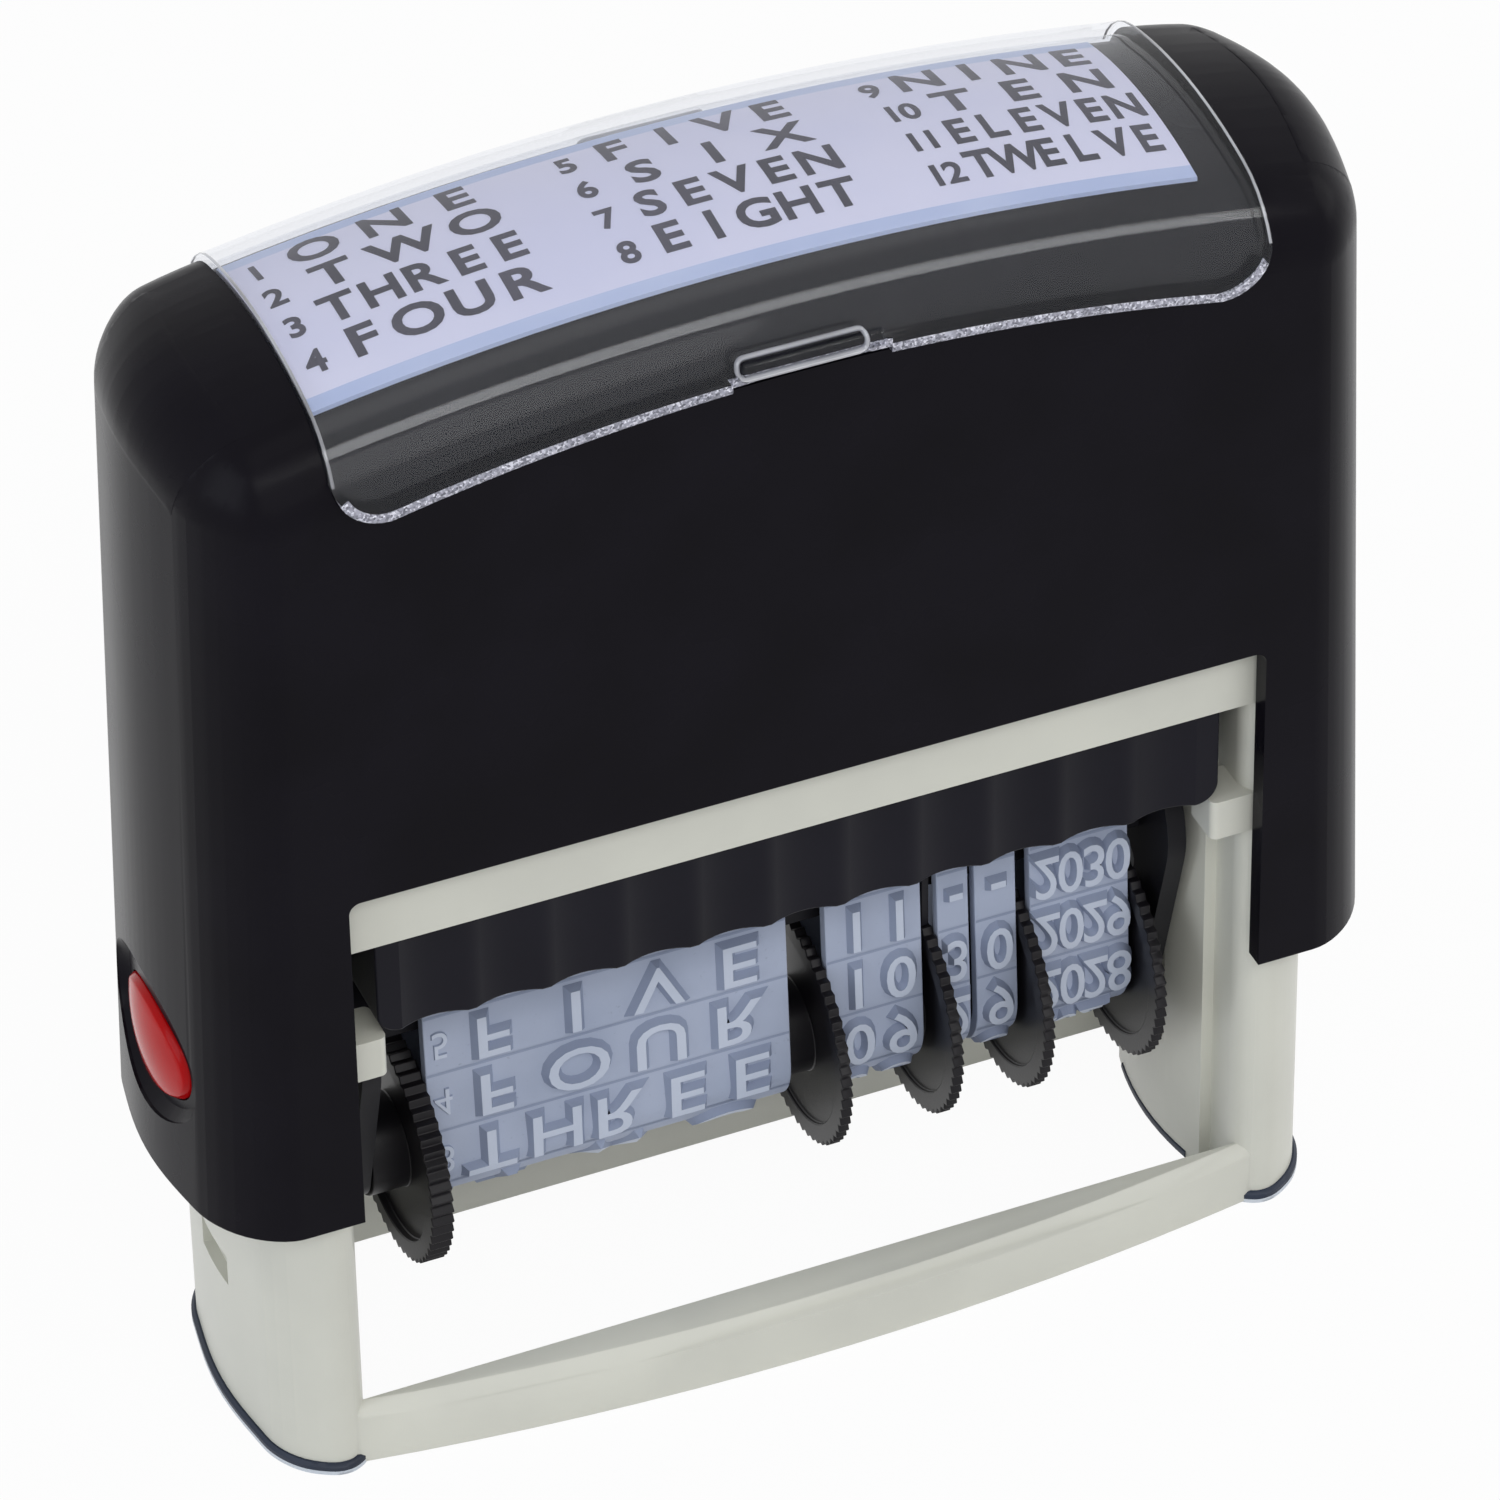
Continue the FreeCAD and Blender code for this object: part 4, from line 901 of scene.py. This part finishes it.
@dataclass(frozen=True)
class CapAssembly:
    """The outer cap with its red lock buttons and its printed card. Lengths in metres."""

    WORDS = ("ONE", "TWO", "THREE", "FOUR", "FIVE", "SIX", "SEVEN", "EIGHT", "NINE", "TEN",
             "ELEVEN", "TWELVE")
    ROWS = 4

    case: TypeCase
    face: Surface = field(default_factory=lambda: Surface(node_shape("index_card")))
    ends: EndRound = EndRound(1.35 * MM)
    edge: float = 0.15 * MM
    button_edge: float = 0.1 * MM
    seam: float = 0.035 * MM
    turn: float = 42.0
    margin: float = 7.0 * MM
    left: float = -29.2 * MM
    column_step: float = 20.15 * MM
    top_row: float = 4.6 * MM
    row_step: float = 3.35 * MM
    figure_height: float = 1.75 * MM
    figure_step: float = 1.15 * MM
    figure_gap: float = 0.3 * MM
    word_height: float = 2.35 * MM
    word_start: float = 2.1 * MM
    word_end: float = 15.9 * MM
    widest: float = 1.2
    word_share: float = 5.3
    swell_share: float = 0.04
    ink: float = 0.03 * MM
    lift: float = 0.01 * MM

    def build(self) -> None:
        """Build the cap, the yoke, the buttons and the card."""
        moulded_copy("cap_shell", Finish.CAP, self.edge, self.seam, self.ends.apply, self.turn)
        moulded_copy("drive_yoke", Finish.INNER, self.edge)
        for side in ("left", "right"):
            moulded_copy("lock_button_" + side, Finish.RED, self.button_edge)
        self.card()

    def card(self) -> None:
        """The card, with a pale blue margin, and its print."""
        bm = self.ends.apply(node_shape("index_card"))
        for offset in (-self.margin, self.margin):
            cut_whole(bm, Vector((0.0, 1.0, 0.0)), offset)
        for face in bm.faces:
            if abs(face.calc_center_median().y) > self.margin:
                face.material_index = 1
        piece("index_card_print_side", bm, "cap", [Finish.CARD, Finish.MARGIN], ["index_card"])
        prints = bmesh.new()
        for index, word in enumerate(self.WORDS):
            column, row = divmod(index, self.ROWS)
            self.entry(prints, index + 1, word, column, row)
        piece("index_print", prints, "cap", [Finish.INK])

    def entry(self, bm: BMesh, number: int, word: str, column: int, row: int) -> None:
        """Print one numbered word on the card.

        Args:
            bm: The print.
            number: The entry's number.
            word: The entry's word.
            column: Its column, from the left.
            row: Its row, from the back.
        """
        y = self.top_row - self.row_step * row
        start = self.left + self.column_step * column
        figures = self.figure_step * len(str(number))
        self.letters(bm, str(number), start, start + figures, y, self.figure_height, 1.0)
        first = start + max(self.word_start, figures + self.figure_gap)
        width = min(self.widest, self.word_share / len(word))
        self.letters(bm, word, first, start + self.word_end, y, self.word_height, width)

    def letters(self, bm: BMesh, text: str, left: float, right: float, y: float,
                height: float, width: float) -> None:
        """Print a text spread evenly over a line.

        Args:
            bm: The print.
            text: The text.
            left: Where the line starts in metres.
            right: Where it ends in metres.
            y: Where the letters stand in metres.
            height: The height of a capital in metres.
            width: How much wider than the font sets them the letters are.
        """
        pitch = (right - left) / len(text)
        for i, letter in enumerate(text):
            x = left + pitch * (i + 0.5)
            shape = self.case.cut(letter, width, height, self.ink, 0.0, self.swell_share * height)
            add_shape(bm, shape, lambda co, x=x: self.face.drape(co.x + x, co.y + y, co.z + self.lift), 0)


@dataclass(frozen=True)
class IndexCover:
    """The clear cover: frosted lower edges, and a rim over each end and a thumb ring on each side, pale beads
    that are painted highlights.

    Lengths in metres. Sizes of beads are their width and height.
    """

    ends: EndRound = CapAssembly.ends
    frost_top: float = 82.0 * MM
    frost_y: float = 11.5 * MM
    trim_turn: float = 50.0
    clearance: float = 1.0 * MM
    edge_size: tuple[float, float] = (0.62 * MM, 0.07 * MM)
    edge_inset: float = 0.33 * MM
    corner: float = 3.5 * MM
    corner_turns: tuple[float, ...] = (9.0, 18.0, 27.0, 36.0, 45.0, 54.0, 63.0)
    edge_steps: int = 18
    thumb_steps: int = 8
    rim_steps: int = 36
    bend: float = 130.0 * MM
    skirt: float = 79.0 * MM
    step: float = 5.2 * MM
    step_rise: float = 0.4 * MM
    rim_size: tuple[float, float] = (0.2 * MM, 0.05 * MM)
    rim_inset: float = 0.15 * MM
    rim_centre: float = 76.0 * MM
    rim_reach: float = 30.0 * MM
    ring_size: tuple[float, float] = (0.32 * MM, 0.28 * MM)
    ring_x: tuple[float, float] = (-4.9 * MM, 3.4 * MM)
    ring_z: tuple[float, float] = (79.95 * MM, 81.2 * MM)
    ring_corner: float = 0.55 * MM

    def build(self) -> None:
        """Build the cover and the trim on it."""
        bm = self.ends.apply(node_shape("index_cover"))
        for face in bm.faces:
            centre = face.calc_center_median()
            if face.normal.z < -0.5 and centre.z < self.frost_top and abs(centre.y) > self.frost_y:
                face.material_index = 1
        piece("index_cover_moulding", bm, "cover", [Finish.CLEAR, Finish.FROST],
              ["index_cover"])
        surface = Surface(self.ends.apply(node_shape("index_cover")))
        edge, rim, ring = bmesh.new(), bmesh.new(), bmesh.new()
        for side in (-1.0, 1.0):
            inward = repeat(Vector((0.0, -side, 0.0)))
            for path in self.edge_paths(side):
                bead(edge, surface.line(path, inward), *self.edge_size)
            bead(ring, surface.line(self.thumb_ring(side), inward), *self.ring_size, True)
            bead(rim, surface.line(*self.end_rim(side)), *self.rim_size)
        # The rim and the thumb ring are painted highlights: opaque pale beads where the clear plastic's edges
        # catch the light.
        for name, trim, finish in (("edge", edge, Finish.FROST), ("rim", rim, Finish.RIB),
                                   ("thumb_ring", ring, Finish.RIB)):
            piece("index_cover_" + name, trim, "cover", [finish], turn=self.trim_turn)

    def edge_paths(self, side: float) -> list[list[Vector]]:
        """The lines of the frosted edge, left of the thumb step, over it and right of it.

        Args:
            side: -1 for the front and 1 for the back.

        Returns:
            Points in front of the wall's outer face, for each line.
        """
        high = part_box("index_cover")[1]
        wall = side * (high.y + self.clearance)
        inset, corner, step = self.edge_inset, self.corner, self.step

        def under(x: float, lift: float = 0.0) -> Vector:
            """A point of the lower edge."""
            fall = self.bend - math.sqrt(self.bend * self.bend - x * x)
            return Vector((x, wall, self.skirt - fall + inset + lift))

        reach = high.x - corner
        centre = under(reach) + Vector((0.0, 0.0, corner - inset))
        turn = [centre + Vector((math.sin(angle), 0.0, -math.cos(angle))) * (corner - inset)
                for angle in map(math.radians, self.corner_turns)]
        right = [under(step + (reach - step) * i / self.edge_steps)
                 for i in range(self.edge_steps + 1)] + turn
        left = [Vector((-p.x, p.y, p.z)) for p in right]
        middle = [under(-step + 2.0 * step * i / self.thumb_steps, self.step_rise)
                  for i in range(self.thumb_steps + 1)]
        return [left, middle, right]

    def end_rim(self, side: float) -> tuple[list[Vector], list[Vector]]:
        """The line of the rim over one end, from the front over the crown to the back.

        Args:
            side: -1 for the left end and 1 for the right end.

        Returns:
            Points outside the cover and the way in from each.
        """
        x = side * (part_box("index_cover")[1].x - self.rim_inset)
        angles = [math.radians(180.0 * k / self.rim_steps) for k in range(self.rim_steps + 1)]
        ways = [Vector((0.0, math.cos(angle), -math.sin(angle))) for angle in angles]
        return [Vector((x, 0.0, self.rim_centre)) - way * self.rim_reach for way in ways], ways

    def thumb_ring(self, side: float) -> list[Vector]:
        """The outline of the long thumb rib.

        Args:
            side: -1 for the front and 1 for the back.

        Returns:
            Points in front of the wall's outer face.
        """
        wall = side * (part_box("index_cover")[1].y + self.clearance)
        (left, right), (low, top) = self.ring_x, self.ring_z
        places = ((left, low), (right, low), (right, top), (left, top))
        return rounded_path([(Vector((x, wall, z)), self.ring_corner) for x, z in places])


@dataclass(frozen=True)
class FrameAssembly:
    """The ivory frame, its foot pads and the return springs. Lengths in metres."""

    ends: EndRound = EndRound(draw=1.0 * MM, half_depth=9.5 * MM, full=35.5 * MM)
    edge: float = 0.25 * MM
    turn: float = 50.0
    spring_turn: float = 60.0
    rolled_z: tuple[float, float] = (3.72 * MM, 4.58 * MM)
    rolled_y: float = 9.7 * MM
    rolled_x: float = 30.0 * MM
    lip_height: float = 0.3 * MM
    line_size: tuple[float, float] = (0.6 * MM, 0.12 * MM)
    line_x: float = 20.0 * MM
    line_z: float = 0.42 * MM

    def build(self) -> None:
        """Build every piece of the base."""
        moulded_copy("frame", Finish.IVORY, self.edge, shape=self.shaped, turn=self.turn)
        for side in ("left", "right"):
            self.foot("foot_" + side)
            self.spring("return_spring_" + side)

    def shaped(self, bm: BMesh) -> None:
        """Take the points out of the bars' rolled edges, which shade round without them.

        Args:
            bm: The frame, whose ends are drawn in too.
        """
        low, high = self.rolled_z
        rolled = [v for v in bm.verts if low < v.co.z < high and abs(v.co.y) > self.rolled_y
                  and abs(v.co.x) < self.rolled_x]
        bmesh.ops.dissolve_verts(bm, verts=rolled)
        self.ends.apply(bm)

    def spring(self, node: str) -> None:
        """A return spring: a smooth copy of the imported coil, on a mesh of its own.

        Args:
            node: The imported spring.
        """
        press = next(j for j in frame["record"]["behaviour"]["joints"] if j["name"] == "cap_press")
        seat = next(d["fixed_end_z_m"] for d in press["deforming_nodes"] if d["node"] == node)
        made = piece(node + "_coil", node_shape(node), body_of(node), [Finish.SPRING],
                     [node], self.spring_turn)
        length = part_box(node)[1].z - seat
        1.0 - press["range_m"][1] / length
        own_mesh(made)

    def foot(self, node: str) -> None:
        """A dark foot pad with the pale lip round its lower edge, carried on under the leg's rib.

        Args:
            node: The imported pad.
        """
        bm = self.ends.apply(node_shape(node))
        cut_whole(bm, Vector((0.0, 0.0, 1.0)), self.lip_height)
        for face in bm.faces:
            face.material_index = int(face.calc_center_median().z < self.lip_height)
        side = math.copysign(1.0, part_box(node)[0].x)
        starts = [Vector((side * self.line_x, k * MM, self.line_z)) for k in range(-5, 6)]
        path = Surface(node_shape("frame")).line(starts, repeat(Vector((side, 0.0, 0.0))))
        bead(bm, path, *self.line_size)
        piece(node + "_moulding", bm, "base", [Finish.PAD, Finish.LIP], [node])


@dataclass(frozen=True)
class Cassette:
    """The ink cassette: a fluted tray and its pad. Lengths in metres."""

    tray_edge: float = 0.15 * MM
    pad_edge: float = 0.3 * MM

    def build(self) -> None:
        """Build the tray and the pad."""
        moulded_copy("cassette_tray", Finish.CASSETTE, self.tray_edge)
        moulded_copy("ink_pad", Finish.FELT, self.pad_edge)


@dataclass(frozen=True)
class BandSet:
    """What one band carries: its rows from the topmost one in view and how its type is set."""

    name: str
    rows: tuple[str, ...]
    margin: float
    letter: float
    numbered: bool = False


@dataclass(frozen=True)
class TypeUnit:
    """The turning unit: carrier, axle, bands with raised type and the setting wheels.

    Lengths in metres.
    """

    BANDS = (
        BandSet("phrase", ("FIVE", "FOUR", "THREE", "TWO", "ONE", "", "TWELVE", "ELEVEN", "TEN", "NINE",
                           "EIGHT", "SEVEN", "SIX"), 1.75 * MM, 1.25, True),
        BandSet("month", ("11", "10", "09", "08", "07", "06", "05", "04", "03", "02", "01", "", "12"),
                0.5 * MM, 1.0),
        BandSet("day_tens", ("-", "3", "2", "1", "0", "", "-", "3", "2", "1", "0", "", ""), 0.2 * MM, 0.8),
        BandSet("day_units", ("-", "0", "9", "8", "7", "6", "5", "4", "3", "2", "1", "0", ""), 0.2 * MM, 0.9),
        BandSet("year", ("2030", "2029", "2028", "2027", "2026", "2025", "2024", "", "2035", "2034",
                         "2033", "2032", "2031"), 0.2 * MM, 0.85),
    )
    ROWS = 13

    case: TypeCase
    loop: BandLoop = field(default_factory=BandLoop.from_frame)
    carrier_edge: float = 0.12 * MM
    axle_edge: float = 0.1 * MM
    band_edge: float = 0.06 * MM
    wheel_edge: float = 0.08 * MM
    spacer_rise: float = 6.5 * MM
    spacer_lap: float = 0.5 * MM
    spacer_depth: float = 6.0 * MM
    spacer_share: float = 0.5
    spacer_bevel: float = 0.1
    first_row_top: float = 29.3 * MM
    letter_height: float = 3.1 * MM
    relief: float = 0.5 * MM
    flare: float = 0.3 * MM
    swell: float = 0.03 * MM
    figure_width: float = 0.9
    figure_height: float = 2.0 * MM
    figure_relief: float = 0.14 * MM
    figure_flare: float = 0.06 * MM
    figure_x: float = 1.05 * MM
    figure_step: float = 1.1 * MM
    line_width: float = 0.2 * MM
    line_lift: float = 0.045 * MM
    line_inset: float = 0.12 * MM

    @property
    def pitch(self) -> float:
        """The height of a row."""
        return self.loop.length / self.ROWS

    def build(self) -> None:
        """Build every piece of the unit."""
        moulded_copy("band_carrier", Finish.INNER, self.carrier_edge)
        self.guides()
        moulded_copy("wheel_axle", Finish.STEEL, self.axle_edge)
        for side in ("left", "right"):
            moulded_copy("trunnion_pin_" + side, Finish.INNER, 0.0)
            moulded_copy("follower_pin_" + side, Finish.STEEL, 0.0)
        for band in self.BANDS:
            self.band(band)
            moulded_copy(band.name + "_wheel", Finish.WHEEL, self.wheel_edge)

    def guides(self) -> None:
        """The nose bar with its fins, and the spacer that closes the gap beside the month band."""
        bm = node_shape("band_guides")
        left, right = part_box("month_band")[1].x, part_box("day_tens_band")[0].x
        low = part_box("wheel_axle")[1].z + self.spacer_rise
        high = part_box("band_guides")[0].z + self.spacer_lap
        spacer = bmesh.new()
        bmesh.ops.create_cube(spacer, size=1.0)
        bmesh.ops.bevel(spacer, geom=spacer.edges[:], offset=self.spacer_bevel, segments=2, profile=0.5,
                        affect="EDGES", material=-1)
        size = ((right - left) * self.spacer_share, self.spacer_depth, high - low)
        bmesh.ops.scale(spacer, vec=size, verts=spacer.verts)
        middle = Vector(((left + right) / 2.0, 0.0, (low + high) / 2.0))
        add_shape(bm, spacer, lambda co: co + middle, 0)
        piece("band_guides_moulding", bm, "print_unit", [Finish.INNER], ["band_guides"])

    def band(self, band: BandSet) -> None:
        """A rubber band and its raised type.

        Args:
            band: What the band carries.
        """
        node = band.name + "_band"
        moulded_copy(node, Finish.RUBBER, self.band_edge)
        low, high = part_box(node)
        bm = bmesh.new()
        first = self.loop.nose_z - self.first_row_top + self.pitch / 2.0
        for row, text in enumerate(band.rows):
            middle = first + row * self.pitch
            self.line(bm, low.x, high.x, middle + self.pitch / 2.0)
            if text:
                self.row(bm, band, text, low.x, high.x, middle)
        # The type's tops are painted lighter as lit faces; its flanks and the row lines are painted darker as
        # shade.
        piece(band.name + "_type", bm, "print_unit", [Finish.TYPE, Finish.FLANK])

    def row(self, bm: BMesh, band: BandSet, text: str, left: float, right: float, travel: float) -> None:
        """Set one row of type on a band.

        Args:
            bm: The band's type.
            band: What the band carries.
            text: The row's text.
            left: The band's left edge in metres.
            right: The band's right edge in metres.
            travel: Where the row's middle lies along the loop in metres.
        """
        start = left + band.margin
        pitch = (right - band.margin / 3.0 - start) / len(text)
        for i, letter in enumerate(text):
            shape = self.case.cut(letter, band.letter, self.letter_height, self.relief, self.flare,
                                  self.swell)
            self.stamp(bm, shape, start + pitch * (i + 0.5), travel - self.letter_height / 2.0)
        if band.numbered:
            number = str(CapAssembly.WORDS.index(text) + 1)
            for i, digit in enumerate(number):
                shape = self.case.cut(digit, self.figure_width, self.figure_height, self.figure_relief,
                                      self.figure_flare)
                x = left + self.figure_x + self.figure_step * (i - (len(number) - 1) / 2.0)
                self.stamp(bm, shape, x, travel - self.figure_height / 2.0)

    def stamp(self, bm: BMesh, shape: BMesh, x: float, travel: float) -> None:
        """Wrap a flat shape on the band, upside down as type is.

        Args:
            bm: The band's type.
            shape: The shape, which is freed.
            x: Where its middle lies across the stamp in metres.
            travel: Where its foot lies along the loop in metres.
        """
        def place(co: Vector) -> Vector:
            """A point of the wrapped shape."""
            y, z = self.loop.at(travel + co.y, co.z)
            return Vector((x + co.x, y, z))
        add_shape(bm, shape, place)

    def line(self, bm: BMesh, left: float, right: float, travel: float) -> None:
        """Draw the thin dark line between two rows, a strip of painted shade in the flanks' colour.

        Args:
            bm: The band's type.
            left: The band's left edge in metres.
            right: The band's right edge in metres.
            travel: Where the line lies along the loop in metres.
        """
        strip = bmesh.new()
        bmesh.ops.create_grid(strip, x_segments=1, y_segments=1, size=0.5)
        size = (right - left - self.line_inset, self.line_width, 1.0)
        bmesh.ops.scale(strip, vec=size, verts=strip.verts)
        bmesh.ops.translate(strip, vec=(0.0, 0.0, self.line_lift), verts=strip.verts)
        # The strip takes the flanks' darker colour: painted shade.
        for face in strip.faces:
            face.material_index = 1
        self.stamp(bm, strip, (left + right) / 2.0, travel)


@dataclass(frozen=True)
class Camera:
    """The view that the stamp is seen from: angles in degrees, lengths in metres."""

    azimuth: float = -22.38
    elevation: float = 38.52
    roll: float = -1.01
    distance: float = 578.8 * MM
    target: Vector = Vector((0.68 * MM, 0.0, 40.66 * MM))
    lens: float = 218.8
    sensor: float = 36.0
    nearest: float = 0.01

    def build(self) -> None:
        """Place the camera."""
        data = bpy.data.cameras.new("view")
        data.lens = self.lens
        data.sensor_width = self.sensor
        data.clip_start = self.nearest
        made = linked("view", data)
        turn, rise = math.radians(self.azimuth), math.radians(self.elevation)
        towards = Vector((-math.sin(turn) * math.cos(rise), math.cos(turn) * math.cos(rise), -math.sin(rise)))
        look = towards.to_track_quat("-Z", "Y").to_matrix() @ Matrix.Rotation(math.radians(self.roll), 3, "Z")
        made.matrix_world = Matrix.Translation(self.target - towards * self.distance) @ look.to_4x4()
        bpy.context.scene.camera = made


@dataclass(frozen=True)
class Softbox:
    """A large soft lamp."""

    name: str
    place: tuple[float, float, float]
    aim: tuple[float, float, float]
    size: tuple[float, float]
    power: float
    colour: tuple[float, float, float] = WHITE[:3]

    def build(self) -> None:
        """Hang the lamp."""
        data = bpy.data.lights.new(self.name, "AREA")
        data.shape = "RECTANGLE"
        data.size, data.size_y = self.size
        data.energy = self.power
        data.color = self.colour
        place = Vector(self.place)
        look = (Vector(self.aim) - place).to_track_quat("-Z", "Y").to_matrix().to_4x4()
        linked(self.name, data).matrix_world = Matrix.Translation(place) @ look


@dataclass(frozen=True)
class Studio:
    """The pale floor, the world and the lamps."""

    LAMPS = (
        Softbox("overhead", (0.05, -0.1, 0.9), (0.0, 0.0, 0.04), (0.9, 0.3), 0.5),
        Softbox("strip", (0.1, -0.68, 0.76), (0.1, 0.0, 0.08), (1.3, 0.2), 3.2),
        Softbox("front", (-0.1, -0.9, 0.4), (0.0, 0.0, 0.04), (0.8, 0.5), 0.8),
        Softbox("left", (-0.8, -0.2, 0.35), (0.0, 0.0, 0.04), (0.5, 0.6), 1.8, (0.86, 0.92, 1.0)),
        Softbox("right", (0.8, -0.1, 0.4), (0.0, 0.0, 0.04), (0.5, 0.6), 1.2),
    )

    floor_half: float = 1.5
    floor_white: float = 0.95
    floor_grain: float = 400.0
    floor_roughness: float = 0.9
    floor_dark: Colour = (0.82, 0.82, 0.83, 1.0)
    floor_light: Colour = (0.86, 0.86, 0.87, 1.0)
    sky: Colour = (0.98, 0.99, 1.0, 1.0)
    sky_strength: float = 0.42

    def build(self) -> None:
        """Build the floor, light the world and hang the lamps."""
        bm = bmesh.new()
        bmesh.ops.create_grid(bm, x_segments=2, y_segments=2, size=self.floor_half)
        mesh = bpy.data.meshes.new("floor")
        bm.to_mesh(mesh)
        bm.free()
        mesh.materials.append(self.paper())
        linked("floor", mesh)
        self.world()
        for lamp in self.LAMPS:
            lamp.build()

    def paper(self) -> bpy.types.Material:
        """White paper that keeps a faint shadow and shows as white.

        Returns:
            The material.
        """
        shader = Shader("floor_paper")
        grain = shader.noise(self.floor_grain, 3.0)
        shader.set(Base_Color=shader.mix(grain, self.floor_dark, self.floor_light),
                   Roughness=self.floor_roughness, Specular_IOR_Level=0.0)
        white = shader.value("ShaderNodeEmission", {"Color": WHITE, "Strength": 1.0})
        shader.show(shader.blend(shader.seen() * self.floor_white, shader.surface, white))
        return shader.material

    def world(self) -> None:
        """A pale world, white where the camera, gloss and clear plastic see it."""
        world = bpy.data.worlds.new("studio")
        bpy.context.scene.world = world
        world.use_nodes = True
        tree = Tree(world.node_tree, "ShaderNodeOutputWorld")
        light, white = (tree.value("ShaderNodeBackground", {"Color": colour, "Strength": strength})
                        for colour, strength in ((self.sky, self.sky_strength), (WHITE, 1.0)))
        tree.show(tree.blend(tree.seen(), light, white))


def main() -> None:
    """Build the stamp and its studio, assembly by assembly."""
    logging.basicConfig(level=logging.INFO, format="%(name)s %(message)s")
    bpy.context.scene.view_settings.view_transform = "Standard"
    case = TypeCase()
    for assembly in (CapAssembly(case), IndexCover(), FrameAssembly(), Cassette(), TypeUnit(case),
                     Camera(), Studio()):
        assembly.build()
    bpy.context.view_layer.update()


if __name__ == "__main__":
    main()
